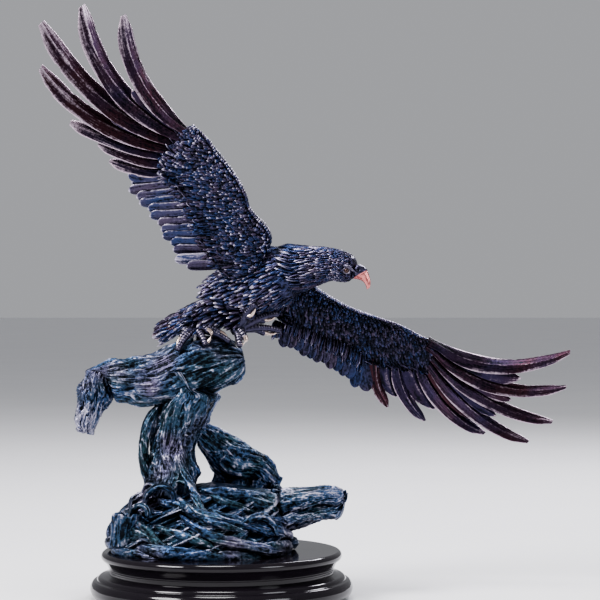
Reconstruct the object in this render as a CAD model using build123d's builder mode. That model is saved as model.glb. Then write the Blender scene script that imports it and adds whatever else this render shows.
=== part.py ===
from build123d import *
from math import cos, radians, sin
import os

# Bronze eagle statuette: an eagle lands on a driftwood bough over a root mound,
# on a round lacquered plinth.  Millimetres, +Z up, +X to the eagle's front,
# origin at the centre of the underside.

os.makedirs("parts", exist_ok=True)

# ------------------------------------------------------------ driving dimensions
PLINTH_RADIUS = 120.5  # widest bead
PLINTH_HEIGHT = 44.0  # felt and both tiers
FELT_THICKNESS = 1.5
FELT_RADIUS = 110.0
FELT_CHAMFER = 0.4
TIER_SPLIT = 24.0  # height where the two tiers meet
NECK_RADIUS = 103.0  # cove between the tiers
TOP_RADIUS = 107.5  # flat of the top tier

BOLT_RADIUS = 3.0  # M6
BOLT_CIRCLE = 42.0
BOLT_CENTRE = (-15.0, 0.0)
BOLT_TOP = 66.0
HEAD_RADIUS = 5.0
HEAD_HEIGHT = 6.0
SOCKET_WIDTH = 5.0
SOCKET_DEPTH = 3.0
WASHER_RADIUS = 6.2
WASHER_THICKNESS = 1.6
COUNTERBORE_RADIUS = 7.0
COUNTERBORE_TOP = 14.0
BOSS_RADIUS = 8.0
BOSS_TOP = 72.0

SCREW_RADIUS = 2.0
SCREW_CIRCLE = 82.0
SCREW_HEAD_RADIUS = 4.0
SCREW_TOP = 36.0

ROD_X = -37.0  # tie rod that draws the bough down on the trunk
ROD_RADIUS = 4.0  # M8
ROD_TOP = 200.0
ROD_TAIL = 10.0  # thread below the nut's top
ROD_WASHER_RADIUS = 8.5
ROD_BOSS_RADIUS = 11.0
ROD_BOSS_FOOT = 176.0
ROD_BOSS_HEIGHT = 30.0
NUT_SIZE = 6.5  # half its width across flats, and its height
WALL = 6.0  # casting thickness
CLEAR = 0.05  # play of a pin or a thread in its hole
BOLT_PLAY = 0.4  # play of a bolt or the rod in its clearance hole
WASHER_PLAY = 0.3

LIMB_DEPTH = 1.08  # a limb's depth, front to back, over its height
PIN_RADIUS = 2.0
WING_PIN_RADIUS = 2.5
STUD_RADIUS = 1.6

FEATHER_THICKNESS = 2.2
PANEL_THICKNESS = 4.0
# along a long feather: share of its length, of its width, of its thickness
FEATHER_SHAPE = (
    (0.0, 0.42, 1.15),
    (0.14, 0.74, 1.05),
    (0.34, 1.0, 0.95),
    (0.62, 1.0, 0.85),
    (0.88, 0.8, 0.7),
    (1.0, 0.3, 0.4),
)


# ------------------------------------------------------------ section helpers
def headings(path):
    """The heading at each point of a path, from the points before and after it."""
    points = [Vector(*p) for p in path]
    behind = points[:1] + points[:-1]
    ahead = points[1:] + points[-1:]
    return [(b - a).normalized() for a, b in zip(behind, ahead)]


def oval(centre, heading, broad_way, broad, slim):
    """An oval face across the heading, its broad half-axis turned to broad_way."""
    way = Vector(*broad_way)
    way = (way - heading * way.dot(heading)).normalized()
    with BuildSketch(Plane(origin=centre, x_dir=way, z_dir=heading)) as face:
        Ellipse(broad, slim)
    return face.sketch


def limb(path, radii, broad_way=(0, 1, 0), ratio=LIMB_DEPTH, inset=0.0):
    """Oval sections along a limb; inset makes the core that hollows it."""
    return [
        oval(point, heading, broad_way, (radius - inset) * ratio, radius - inset)
        for point, heading, radius in zip(path, headings(path), radii)
    ]


def blade(leading, trailing, thicknesses):
    """Wing sections, each from its leading-edge point to its trailing-edge point."""
    fronts = [Vector(*p) for p in leading]
    backs = [Vector(*p) for p in trailing]
    middles = [(a + b) * 0.5 for a, b in zip(fronts, backs)]
    spans = headings([tuple(m) for m in middles])
    faces = []
    for front, back, middle, span, thick in zip(fronts, backs, middles, spans, thicknesses):
        chord = back - front
        along = chord.normalized()
        normal = (span - along * span.dot(along)).normalized()
        faces.append(oval(middle, normal, tuple(along), chord.length / 2, thick / 2))
    return faces


def bowed(root, bow, tip, t):
    """Point at t on the curve from root to tip that leans towards bow."""
    a, b, c = Vector(*root), Vector(*bow), Vector(*tip)
    return a * (1 - t) ** 2 + b * (2 * t * (1 - t)) + c * t**2


def bowed_heading(root, bow, tip, t):
    """Heading at t on the same curve."""
    a, b, c = Vector(*root), Vector(*bow), Vector(*tip)
    return ((b - a) * (1 - t) + (c - b) * t).normalized()


def feather(root, bow, tip, width, facing, tilt):
    """Lens sections along a long feather, tilted so that it overlaps like a tile."""
    faces = []
    for t, wide, thick in FEATHER_SHAPE:
        heading = bowed_heading(root, bow, tip, t)
        flat = heading.cross(Vector(*facing)).normalized()
        out = flat.cross(heading).normalized()
        lean = radians(tilt * (1 - 0.5 * t))
        way = flat * cos(lean) + out * sin(lean)
        faces.append(
            oval(
                bowed(root, bow, tip, t),
                heading,
                tuple(way),
                width / 2 * wide,
                FEATHER_THICKNESS / 2 * thick,
            )
        )
    return faces


def horn(root, bow, tip, base_radius, tip_radius):
    """Round sections of a talon, thinning along its curve."""
    faces = []
    for t in (0, 0.35, 0.7, 1):
        radius = base_radius + (tip_radius - base_radius) * t
        heading = bowed_heading(root, bow, tip, t)
        faces.append(oval(bowed(root, bow, tip, t), heading, (0.3, 1, 0.2), radius, radius * 0.9))
    return faces


def around(centre, radius, first_angle, count=3):
    """Points evenly spaced on a circle."""
    turns = [radians(first_angle + 360 * i / count) for i in range(count)]
    return [(centre[0] + radius * cos(a), centre[1] + radius * sin(a)) for a in turns]


def at_height(points, z):
    """The same plan points at height z."""
    return [(x, y, z) for x, y in points]


UPRIGHT = (Align.CENTER, Align.CENTER, Align.MIN)
bolt_points = around(BOLT_CENTRE, BOLT_CIRCLE, 90)
screw_points = around((0, 0), SCREW_CIRCLE, 30)

# ------------------------------------------------------------ felt pad
with BuildPart() as felt_pad:
    with BuildSketch(Plane.XY):
        Circle(FELT_RADIUS)
    extrude(amount=FELT_THICKNESS)
    chamfer(felt_pad.edges().sort_by(Axis.Z)[0], FELT_CHAMFER)
felt_pad.part.label = "felt_pad"
export_step(felt_pad.part, "parts/felt_pad.step")

# ------------------------------------------------------------ plinth, lower tier
BEAD_FOOT = (113.6, FELT_THICKNESS)
BEAD_TOP = (117.4, 17.6)
STEP_FOOT = (114.2, 18.4)
STEP_TOP = (109.0, 22.2)
with BuildPart() as plinth_lower_tier:
    with BuildSketch(Plane.XZ):
        with BuildLine():
            Line((0, FELT_THICKNESS), BEAD_FOOT)
            ThreePointArc(BEAD_FOOT, (PLINTH_RADIUS, 10.0), BEAD_TOP)
            Line(BEAD_TOP, STEP_FOOT)
            ThreePointArc(STEP_FOOT, (112.9, 21.0), STEP_TOP)
            Polyline(STEP_TOP, (NECK_RADIUS, TIER_SPLIT), (0, TIER_SPLIT), (0, FELT_THICKNESS))
        make_face()
    revolve(axis=Axis.Z)
    with Locations(*at_height(bolt_points, FELT_THICKNESS)):
        Cylinder(
            COUNTERBORE_RADIUS,
            COUNTERBORE_TOP - FELT_THICKNESS,
            align=UPRIGHT,
            mode=Mode.SUBTRACT,
        )
        Cylinder(BOLT_RADIUS + BOLT_PLAY, TIER_SPLIT, align=UPRIGHT, mode=Mode.SUBTRACT)
    with Locations(*at_height(screw_points, FELT_THICKNESS)):
        Cylinder(SCREW_RADIUS + CLEAR, TIER_SPLIT, align=UPRIGHT, mode=Mode.SUBTRACT)
        Cone(
            SCREW_HEAD_RADIUS + CLEAR,
            SCREW_RADIUS + CLEAR,
            SCREW_HEAD_RADIUS - SCREW_RADIUS,
            align=UPRIGHT,
            mode=Mode.SUBTRACT,
        )
plinth_lower_tier.part.label = "plinth_lower_tier"
export_step(plinth_lower_tier.part, "parts/plinth_lower_tier.step")

# ------------------------------------------------------------ plinth, upper tier
COVE_TOP = (107.6, 35.6)
with BuildPart() as plinth_upper_tier:
    with BuildSketch(Plane.XZ):
        with BuildLine():
            Line((0, TIER_SPLIT), (NECK_RADIUS, TIER_SPLIT))
            ThreePointArc((NECK_RADIUS, TIER_SPLIT), (104.2, 30.4), COVE_TOP)
            ThreePointArc(COVE_TOP, (110.5, 40.4), (TOP_RADIUS, PLINTH_HEIGHT))
            Polyline((TOP_RADIUS, PLINTH_HEIGHT), (0, PLINTH_HEIGHT), (0, TIER_SPLIT))
        make_face()
    revolve(axis=Axis.Z)
    with Locations(*at_height(bolt_points, TIER_SPLIT)):
        Cylinder(
            BOLT_RADIUS + BOLT_PLAY,
            PLINTH_HEIGHT - TIER_SPLIT,
            align=UPRIGHT,
            mode=Mode.SUBTRACT,
        )
    with Locations(*at_height(screw_points, TIER_SPLIT)):
        Cylinder(
            SCREW_RADIUS + CLEAR,
            SCREW_TOP - TIER_SPLIT + 1,
            align=UPRIGHT,
            mode=Mode.SUBTRACT,
        )
plinth_upper_tier.part.label = "plinth_upper_tier"
export_step(plinth_upper_tier.part, "parts/plinth_upper_tier.step")

# ------------------------------------------------------------ tier screws
with BuildPart() as tier_screws:
    with Locations(*at_height(screw_points, FELT_THICKNESS)):
        Cylinder(SCREW_RADIUS, SCREW_TOP - FELT_THICKNESS, align=UPRIGHT)
        Cone(
            SCREW_HEAD_RADIUS,
            SCREW_RADIUS,
            SCREW_HEAD_RADIUS - SCREW_RADIUS,
            align=UPRIGHT,
        )
tier_screws.part.label = "tier_screws"
export_step(tier_screws.part, "parts/tier_screws.step")

# ------------------------------------------------------------ mounting bolts and washers
washer_foot = COUNTERBORE_TOP - WASHER_THICKNESS
head_foot = washer_foot - HEAD_HEIGHT
with BuildPart() as mounting_bolts:
    with Locations(*at_height(bolt_points, head_foot)):
        Cylinder(HEAD_RADIUS, HEAD_HEIGHT, align=UPRIGHT)
        Cylinder(BOLT_RADIUS, BOLT_TOP - head_foot, align=UPRIGHT)
    with Locations(*at_height(bolt_points, head_foot)):
        with Locations((0, 0, SOCKET_DEPTH / 2)):
            Box(SOCKET_WIDTH, SOCKET_WIDTH, SOCKET_DEPTH, mode=Mode.SUBTRACT)
mounting_bolts.part.label = "mounting_bolts"
export_step(mounting_bolts.part, "parts/mounting_bolts.step")

with BuildPart() as mounting_washers:
    with BuildSketch(Plane.XY.offset(washer_foot)):
        with Locations(*bolt_points):
            Circle(WASHER_RADIUS)
            Circle(BOLT_RADIUS + WASHER_PLAY, mode=Mode.SUBTRACT)
    extrude(amount=WASHER_THICKNESS)
mounting_washers.part.label = "mounting_washers"
export_step(mounting_washers.part, "parts/mounting_washers.step")

# ------------------------------------------------------------ forms that neighbours are cut to
BOUGH_PATH = [
    (-111, 0, 203),
    (-100, 0, 202),
    (-79, 0, 200),
    (-56, 0, 201),
    (-34, 0, 208),
    (-11, 0, 214),
    (8, -1, 218),
    (21, -2, 221),
]
BOUGH_RADII = [12, 16.5, 20.5, 23, 26.5, 26, 20, 9]
with BuildPart() as bough_form:
    loft(sections=limb(BOUGH_PATH, BOUGH_RADII))

MOUND_LEVELS = [44, 60, 78, 94, 106]  # heights of the oval levels
MOUND_CENTRES = [(-18, -6), (-19, -6), (-17, -2), (-12, 4), (-10, 8)]
MOUND_HALVES = [(82, 70), (82, 67), (75, 54), (66, 42), (56, 33)]


def mound_levels(inset, top_drop):
    """Level ovals of the mound, drawn in by inset and stopped top_drop short."""
    faces = []
    last = len(MOUND_LEVELS) - 1
    for i, (z, centre, halves) in enumerate(zip(MOUND_LEVELS, MOUND_CENTRES, MOUND_HALVES)):
        level = z - top_drop if i == last else z
        place = Vector(centre[0], centre[1], level)
        faces.append(oval(place, Vector(0, 0, 1), (1, 0, 0), halves[0] - inset, halves[1] - inset))
    return faces


with BuildPart() as mound_form:
    loft(sections=mound_levels(0, 0))

TRUNK_PATH = [(-43, 0, 106), (-45, 0, 127), (-43, 0, 146), (-36, 0, 168), (-30, 0, 196)]
TRUNK_RADII = [26.5, 22, 21, 24, 24]
with BuildPart() as trunk_form:
    loft(sections=limb(TRUNK_PATH, TRUNK_RADII))
    add(bough_form.part, mode=Mode.SUBTRACT)
    split(bisect_by=Plane.XY.offset(MOUND_LEVELS[-1]), keep=Keep.TOP)

# ------------------------------------------------------------ hidden pins and studs
LIMB_PINS = [
    ((-105, -2, 201), (1, 0, 0.1)),
    ((-20, 9, 151), (-0.6, -0.3, 0.5)),
    ((50, 0, 76), (1, 0, 0.35)),
    ((36, 30, 104), (0, 0, 1)),
]
with BuildPart() as limb_pins:
    for centre, way in LIMB_PINS:
        with Locations(Plane(origin=centre, z_dir=way)):
            Cylinder(PIN_RADIUS, 16)
limb_pins.part.label = "limb_pins"
export_step(limb_pins.part, "parts/limb_pins.step")

WING_PINS = [
    ((34, -17, 312), (0.15, -0.9, 0.5)),
    ((22, -15, 303), (0.0, -0.9, 0.5)),
    ((64, 12, 286), (0.5, 0.6, -0.6)),
    ((54, 15, 275), (0.4, 0.7, -0.6)),
]
with BuildPart() as wing_pins:
    for centre, way in WING_PINS:
        with Locations(Plane(origin=centre, z_dir=way)):
            Cylinder(WING_PIN_RADIUS, 14)
wing_pins.part.label = "wing_pins"
export_step(wing_pins.part, "parts/wing_pins.step")

STUD_FEET = [(-24, -9, 228), (14, -5, 226)]
with BuildPart() as foot_studs:
    with Locations(*STUD_FEET):
        Cylinder(STUD_RADIUS, 17, align=UPRIGHT)
foot_studs.part.label = "foot_studs"
export_step(foot_studs.part, "parts/foot_studs.step")

# ------------------------------------------------------------ root mound, hollow below
with BuildPart() as mound_core:
    loft(sections=mound_levels(WALL, WALL))
    with Locations(*at_height(bolt_points, PLINTH_HEIGHT)):
        Cylinder(BOSS_RADIUS, BOSS_TOP, align=UPRIGHT, mode=Mode.SUBTRACT)

with BuildPart() as root_mound:
    add(mound_form.part)
    add(mound_core.part, mode=Mode.SUBTRACT)
    with Locations(*at_height(bolt_points, PLINTH_HEIGHT)):
        Cylinder(
            BOLT_RADIUS + CLEAR,
            BOLT_TOP - PLINTH_HEIGHT + 2,
            align=UPRIGHT,
            mode=Mode.SUBTRACT,
        )
    with Locations((ROD_X, 0, MOUND_LEVELS[-1])):
        Cylinder(ROD_RADIUS + BOLT_PLAY, 4 * WALL, mode=Mode.SUBTRACT)
    add(limb_pins.part, mode=Mode.SUBTRACT)
root_mound.part.label = "root_mound"
export_step(root_mound.part, "parts/root_mound.step")

# ------------------------------------------------------------ tie rod, nut and washer
nut_top = MOUND_LEVELS[-1] - WALL - WASHER_THICKNESS
with BuildPart() as tie_rod:
    with Locations((ROD_X, 0, nut_top - ROD_TAIL)):
        Cylinder(ROD_RADIUS, ROD_TOP - nut_top + ROD_TAIL, align=UPRIGHT)
tie_rod.part.label = "tie_rod"
export_step(tie_rod.part, "parts/tie_rod.step")

with BuildPart() as tie_rod_nut:
    with BuildSketch(Plane.XY.offset(nut_top - NUT_SIZE)):
        with Locations((ROD_X, 0)):
            RegularPolygon(NUT_SIZE, 6, major_radius=False)
            Circle(ROD_RADIUS + CLEAR, mode=Mode.SUBTRACT)
    extrude(amount=NUT_SIZE)
tie_rod_nut.part.label = "tie_rod_nut"
export_step(tie_rod_nut.part, "parts/tie_rod_nut.step")

with BuildPart() as tie_rod_washer:
    with BuildSketch(Plane.XY.offset(nut_top)):
        with Locations((ROD_X, 0)):
            Circle(ROD_WASHER_RADIUS)
            Circle(ROD_RADIUS + WASHER_PLAY, mode=Mode.SUBTRACT)
    extrude(amount=WASHER_THICKNESS)
tie_rod_washer.part.label = "tie_rod_washer"
export_step(tie_rod_washer.part, "parts/tie_rod_washer.step")

# ------------------------------------------------------------ trunk
with BuildPart() as trunk:
    add(trunk_form.part)
    loft(sections=limb(TRUNK_PATH, TRUNK_RADII, inset=WALL), mode=Mode.SUBTRACT)
    add(limb_pins.part, mode=Mode.SUBTRACT)
trunk.part.label = "trunk"
export_step(trunk.part, "parts/trunk.step")

# ------------------------------------------------------------ bough, hollow with a tapped boss
with BuildPart() as bough_core:
    loft(sections=limb(BOUGH_PATH[1:-1], BOUGH_RADII[1:-1], inset=WALL))
    with Locations((ROD_X, 0, ROD_BOSS_FOOT)):
        Cylinder(ROD_BOSS_RADIUS, ROD_BOSS_HEIGHT, align=UPRIGHT, mode=Mode.SUBTRACT)

with BuildPart() as bough:
    add(bough_form.part)
    add(bough_core.part, mode=Mode.SUBTRACT)
    with Locations((ROD_X, 0, ROD_BOSS_FOOT)):
        Cylinder(
            ROD_RADIUS + CLEAR,
            ROD_TOP - ROD_BOSS_FOOT + 2,
            align=UPRIGHT,
            mode=Mode.SUBTRACT,
        )
    add(limb_pins.part, mode=Mode.SUBTRACT)
    add(foot_studs.part, mode=Mode.SUBTRACT)
bough.part.label = "bough"
export_step(bough.part, "parts/bough.step")

# ------------------------------------------------------------ drooping stub of the bough
STUB_PATH = [(-106, -1, 209), (-112, -4, 199), (-117, -7, 185), (-121, -9, 170), (-126, -11, 155)]
STUB_RADII = [13, 15, 14, 11.5, 7.5]
with BuildPart() as drooping_stub:
    loft(sections=limb(STUB_PATH, STUB_RADII))
    add(bough_form.part, mode=Mode.SUBTRACT)
    add(limb_pins.part, mode=Mode.SUBTRACT)
drooping_stub.part.label = "drooping_stub"
export_step(drooping_stub.part, "parts/drooping_stub.step")

# ------------------------------------------------------------ side root and ribbon root
SIDE_PATH = [(-56, -9, 176), (-65, -12, 165), (-70, -13, 149), (-71, -11, 132), (-66, -8, 108)]
SIDE_RADII = [4, 4.8, 4.8, 4.6, 5.5]
with BuildPart() as side_root:
    loft(sections=limb(SIDE_PATH, SIDE_RADII))
    for form in (trunk_form, bough_form, mound_form):
        add(form.part, mode=Mode.SUBTRACT)
side_root.part.label = "side_root"
export_step(side_root.part, "parts/side_root.step")

RIBBON_PATH = [(-36, -22, 122), (-30, -28, 110), (-24, -37, 99), (-16, -48, 86)]
RIBBON_RADII = [3.4, 4.2, 4.2, 3.6]
with BuildPart() as ribbon_root:
    loft(sections=limb(RIBBON_PATH, RIBBON_RADII))
    add(trunk_form.part, mode=Mode.SUBTRACT)
    add(mound_form.part, mode=Mode.SUBTRACT)
ribbon_root.part.label = "ribbon_root"
export_step(ribbon_root.part, "parts/ribbon_root.step")

# ------------------------------------------------------------ back limb
BACK_PATH = [(-26, 4, 154), (-8, 14, 141), (9, 22, 125), (28, 28, 114), (43, 28, 100)]
BACK_RADII = [8, 9.5, 13, 12.5, 9]
with BuildPart() as back_limb:
    loft(sections=limb(BACK_PATH, BACK_RADII, broad_way=(0, 0, 1), ratio=1.5))
    add(trunk_form.part, mode=Mode.SUBTRACT)
    add(mound_form.part, mode=Mode.SUBTRACT)
    add(limb_pins.part, mode=Mode.SUBTRACT)
back_limb.part.label = "back_limb"
export_step(back_limb.part, "parts/back_limb.step")

# ------------------------------------------------------------ broken limb
BROKEN_PATH = [(36, 0, 74), (54, 0, 80), (72, -1, 84), (92, -2, 87), (112, -3, 86)]
BROKEN_RADII = [19, 19.5, 17.5, 15, 12.5]
with BuildPart() as broken_limb:
    loft(sections=limb(BROKEN_PATH, BROKEN_RADII, ratio=1.2))
    add(mound_form.part, mode=Mode.SUBTRACT)
    add(back_limb.part, mode=Mode.SUBTRACT)
    add(limb_pins.part, mode=Mode.SUBTRACT)
broken_limb.part.label = "broken_limb"
export_step(broken_limb.part, "parts/broken_limb.step")

# ------------------------------------------------------------ curled bark, an open curl
CURL_CENTRE = (-85, -42)
CURL_LEAN = (-86, -40)  # centre of its mouth
CURL_FOOT, CURL_FLOOR, CURL_MOUTH = (PLINTH_HEIGHT + rise for rise in (8, 11, 38))
with BuildPart() as curled_bark:
    with BuildSketch(Plane.XY.offset(CURL_FOOT)):
        with Locations(CURL_CENTRE):
            Ellipse(11.5, 10)
    with BuildSketch(Plane.XY.offset(CURL_MOUTH)):
        with Locations(CURL_LEAN):
            Ellipse(13.5, 12)
    loft()
    with BuildSketch(Plane.XY.offset(CURL_FLOOR)):
        with Locations(CURL_CENTRE):
            Ellipse(8, 6.5)
    with BuildSketch(Plane.XY.offset(CURL_MOUTH)):
        with Locations(CURL_LEAN):
            Ellipse(10, 8.5)
    loft(mode=Mode.SUBTRACT)
    add(mound_form.part, mode=Mode.SUBTRACT)
curled_bark.part.label = "curled_bark"
export_step(curled_bark.part, "parts/curled_bark.step")

# ------------------------------------------------------------ splinters along the mound's front
SPLINTER_RADII = [3.0, 4.2, 2.2]
SPLINTERS = [
    ((-48, -48, 96), (-10, -60, 84), (28, -62, 70)),
    ((-35, -63, 78), (0, -74, 66), (38, -70, 54)),
    ((-62, -72, 58), (-30, -80, 52), (-2, -79, 49)),
    ((0, -77, 56), (30, -76, 50), (56, -62, 48)),
]
with BuildPart() as mound_splinters:
    for start, middle, end in SPLINTERS:
        loft(sections=limb([start, middle, end], SPLINTER_RADII))
    add(mound_form.part, mode=Mode.SUBTRACT)
    add(plinth_upper_tier.part, mode=Mode.SUBTRACT)
mound_splinters.part.label = "mound_splinters"
export_step(mound_splinters.part, "parts/mound_splinters.step")

# ------------------------------------------------------------ body, hollow casting
SPINE_PATH = [
    (-17, 28, 271),
    (-2, 22, 277),
    (16, 14, 283),
    (35, 5, 290),
    (54, -4, 297),
    (69, -11, 301),
    (83, -17, 304),
    (96, -22, 306),
    (106, -26, 306),
    (115, -29, 303),
    (122, -31, 299),
]
SPINE_RADII = [10, 18, 24, 26.5, 25.5, 21.5, 17, 14.5, 13, 12, 8]
NECK_STATION = 5  # where the head casting meets the body
spine_sections = limb(SPINE_PATH, SPINE_RADII, broad_way=(0, 0, 1))
with BuildPart() as body_form:
    loft(sections=spine_sections[: NECK_STATION + 1])

with BuildPart() as body:
    add(body_form.part)
    loft(
        sections=limb(SPINE_PATH[1:NECK_STATION], SPINE_RADII[1:NECK_STATION], (0, 0, 1), inset=WALL),
        mode=Mode.SUBTRACT,
    )
    add(wing_pins.part, mode=Mode.SUBTRACT)
body.part.label = "body"
export_step(body.part, "parts/body.step")

# ------------------------------------------------------------ beak and eyes
BEAK_PATH = [(121, -31, 300), (127, -33, 297.5), (131, -34, 293.5), (133, -35, 288.5), (133, -35, 283)]
BEAK_RADII = [5.6, 5.0, 3.9, 2.5, 0.9]
with BuildPart() as beak:
    loft(sections=limb(BEAK_PATH, BEAK_RADII, broad_way=(0.3, -0.1, 1), ratio=1.25))
beak.part.label = "beak"
export_step(beak.part, "parts/beak.step")

EYE_RADIUS = 2.4
EYES = [(114, -39, 300.5), (120, -20, 300.5)]
with BuildPart() as eyes:
    with Locations(*EYES):
        Sphere(EYE_RADIUS)
eyes.part.label = "eyes"
export_step(eyes.part, "parts/eyes.step")

# ------------------------------------------------------------ neck and head
with BuildPart() as neck_and_head:
    loft(sections=spine_sections[NECK_STATION:])
    add(beak.part, mode=Mode.SUBTRACT)
    add(eyes.part, mode=Mode.SUBTRACT)
neck_and_head.part.label = "neck_and_head"
export_step(neck_and_head.part, "parts/neck_and_head.step")

# ------------------------------------------------------------ tail
TAIL_PATH = [(2, 21, 278), (-16, 29, 268), (-38, 38, 255), (-54, 45, 246), (-66, 50, 239)]
TAIL_HALVES = [9, 14, 17, 14, 5]
TAIL_FAN_WAY = (0.35, 0.55, 0.75)
TAIL_HALF_THICKNESS = 3.5
tail_headings = headings(TAIL_PATH)
with BuildPart() as tail_feathers:
    loft(
        sections=[
            oval(point, heading, TAIL_FAN_WAY, half, TAIL_HALF_THICKNESS)
            for point, heading, half in zip(TAIL_PATH, tail_headings, TAIL_HALVES)
        ]
    )
    add(body_form.part, mode=Mode.SUBTRACT)
tail_feathers.part.label = "tail_feathers"
export_step(tail_feathers.part, "parts/tail_feathers.step")

# ------------------------------------------------------------ feet and talons
PALM_RADIUS = 6.5
TOE_RADII = [3.8, 3.4, 2.6]
TALON_RADIUS = 2.3
TALON_TIP_RADIUS = 0.5
PALMS = {"right": (-24, -9, 245), "left": (14, -5, 248)}
# each toe: knuckle, end of the toe, bend of the talon, point of the talon
TOES = {
    "right": [
        ((-18, -15, 250), (-12, -18, 247), (-4, -20, 243), (-14, -22, 234)),
        ((-31, -14, 246), (-36, -18, 240), (-41, -21, 236), (-39, -23, 230)),
        ((-13, -8, 249), (-3, -9, 245), (5, -10, 244), (6, -11, 237)),
        ((-26, 2, 247), (-28, 11, 243), (-29, 17, 242), (-28, 20, 236)),
    ],
    "left": [
        ((18, -12, 247), (22, -15, 241), (24, -17, 234), (17, -18, 233)),
        ((20, -10, 255), (25, -14, 259), (32, -17, 262), (31, -18, 269)),
        ((26, -3, 257), (38, -3, 257), (47, -3, 253), (50, -3, 261)),
        ((25, 0, 248), (38, 2, 245), (48, 3, 240), (52, 3, 246)),
    ],
}
feet = {}
for side, palm in PALMS.items():
    with BuildPart() as talons:
        for knuckle, toe_end, bend, point in TOES[side]:
            loft(sections=horn(toe_end, bend, point, TALON_RADIUS, TALON_TIP_RADIUS))
        add(bough_form.part, mode=Mode.SUBTRACT)
    with BuildPart() as foot:
        with Locations(palm):
            Sphere(PALM_RADIUS)
        for knuckle, toe_end, bend, point in TOES[side]:
            loft(sections=limb([palm, knuckle, toe_end], TOE_RADII))
        add(bough_form.part, mode=Mode.SUBTRACT)
        add(foot_studs.part, mode=Mode.SUBTRACT)
        add(talons.part, mode=Mode.SUBTRACT)
    talons.part.label = f"{side}_talons"
    export_step(talons.part, f"parts/{side}_talons.step")
    foot.part.label = f"{side}_foot"
    export_step(foot.part, f"parts/{side}_foot.step")
    feet[side] = foot

# ------------------------------------------------------------ thighs
THIGHS = {
    "right": ([(4, 8, 268), (-9, -1, 261), (-23, -8, 251)], [13, 11, 6.5]),
    "left": ([(38, 6, 276), (28, 1, 265), (15, -4, 254)], [13, 10, 6]),
}
for side, (path, radii) in THIGHS.items():
    with BuildPart() as thigh:
        loft(sections=limb(path, radii))
        for form in (body_form, bough_form, feet[side], tail_feathers):
            add(form.part, mode=Mode.SUBTRACT)
    thigh.part.label = f"{side}_thigh"
    export_step(thigh.part, f"parts/{side}_thigh.step")

# ------------------------------------------------------------ wings
WINGS = {
    "right": {
        "lead": [(48, -8, 316), (46, -22, 329), (37, -28, 345), (26, -36, 363), (14, -44, 386),
                 (-3, -50, 408), (-27, -54, 430)],
        "trail": [(14, -6, 290), (4, -22, 303), (-10, -28, 325), (-20, -36, 351), (-28, -44, 373),
                  (-35, -50, 380), (-46, -54, 392)],
        "thick": [16, 16, 14, 13, 12, 10, 8],
        "inner": [(12, -23, 302), (-3, -29, 324), (-16, -35, 346), (-26, -41, 366), (-38, -47, 384)],
        "outer": [(-13, -22, 296), (-40, -27, 313), (-57, -32, 339), (-71, -37, 361), (-87, -42, 384)],
        "facing": (0.1, -1, 0.1),
        "tilt": -22,
        "primaries": [
            ((-30, -57, 425), (-82, -72, 463), (-83, -80, 525), 15),
            ((-33, -56, 419), (-110, -70, 457), (-120, -76, 534), 17),
            ((-36, -55, 414), (-119, -67, 445), (-157, -71, 520), 17),
            ((-38, -54, 408), (-124, -64, 427), (-158, -66, 481), 15),
            ((-40, -53, 402), (-96, -59, 414), (-133, -57, 433), 13),
            ((-43, -52, 396), (-75, -56, 399), (-108, -53, 414), 12),
            ((-45, -51, 391), (-71, -53, 387), (-98, -50, 399), 11),
        ],
    },
    "left": {
        "lead": [(70, 6, 300), (84, 20, 287), (105, 28, 274), (130, 36, 263), (157, 42, 254),
                 (180, 44, 243), (202, 44, 235)],
        "trail": [(40, 10, 272), (56, 20, 257), (86, 28, 239), (114, 36, 227), (140, 42, 220),
                  (166, 44, 216), (189, 44, 213)],
        "thick": [16, 16, 14, 13, 12, 10, 8],
        "inner": [(57, 17, 260), (76, 22, 250), (96, 27, 240), (115, 32, 230), (134, 37, 222)],
        "outer": [(38, 18, 238), (60, 23, 229), (82, 28, 219), (104, 33.5, 207), (127, 39, 191)],
        "facing": (0.1, -1, 0.2),
        "tilt": 24,
        "primaries": [
            ((200, 41, 232), (259, 44, 195), (324, 26, 226), 14),
            ((198, 42, 227), (255, 47, 176), (321, 31, 193), 14),
            ((195, 43, 222), (254, 50, 164), (309, 37, 160), 14),
            ((192, 44, 218), (235, 52, 155), (287, 42, 141), 14),
            ((183, 44, 216), (207, 53, 162), (246, 46, 149), 15),
            ((163, 43, 218), (166, 51, 180), (190, 48, 161), 13),
            ((144, 42, 219), (140, 48, 195), (155, 46, 174), 13),
        ],
    },
}
for side, wing in WINGS.items():
    with BuildPart() as arm:
        loft(sections=blade(wing["lead"], wing["trail"], wing["thick"]))
        add(body_form.part, mode=Mode.SUBTRACT)
        add(wing_pins.part, mode=Mode.SUBTRACT)
    arm.part.label = f"{side}_wing_arm"
    export_step(arm.part, f"parts/{side}_wing_arm.step")

    with BuildPart() as secondaries:
        loft(sections=blade(wing["inner"], wing["outer"], [PANEL_THICKNESS] * len(wing["inner"])))
        add(arm.part, mode=Mode.SUBTRACT)
        add(body_form.part, mode=Mode.SUBTRACT)
    secondaries.part.label = f"{side}_secondaries"
    export_step(secondaries.part, f"parts/{side}_secondaries.step")

    for number, (root, bow, tip, width) in enumerate(wing["primaries"], start=1):
        with BuildPart() as primary:
            loft(sections=feather(root, bow, tip, width, wing["facing"], wing["tilt"]))
            add(arm.part, mode=Mode.SUBTRACT)
        primary.part.label = f"{side}_primary_{number}"
        export_step(primary.part, f"parts/{side}_primary_{number}.step")
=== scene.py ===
"""Looks of a cast bronze eagle on driftwood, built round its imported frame.

Every piece is an oval section carried along a centre line that is read from the slices
of the frame's nodes, with grain, barbs or plumage added along its normals.
"""

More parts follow.
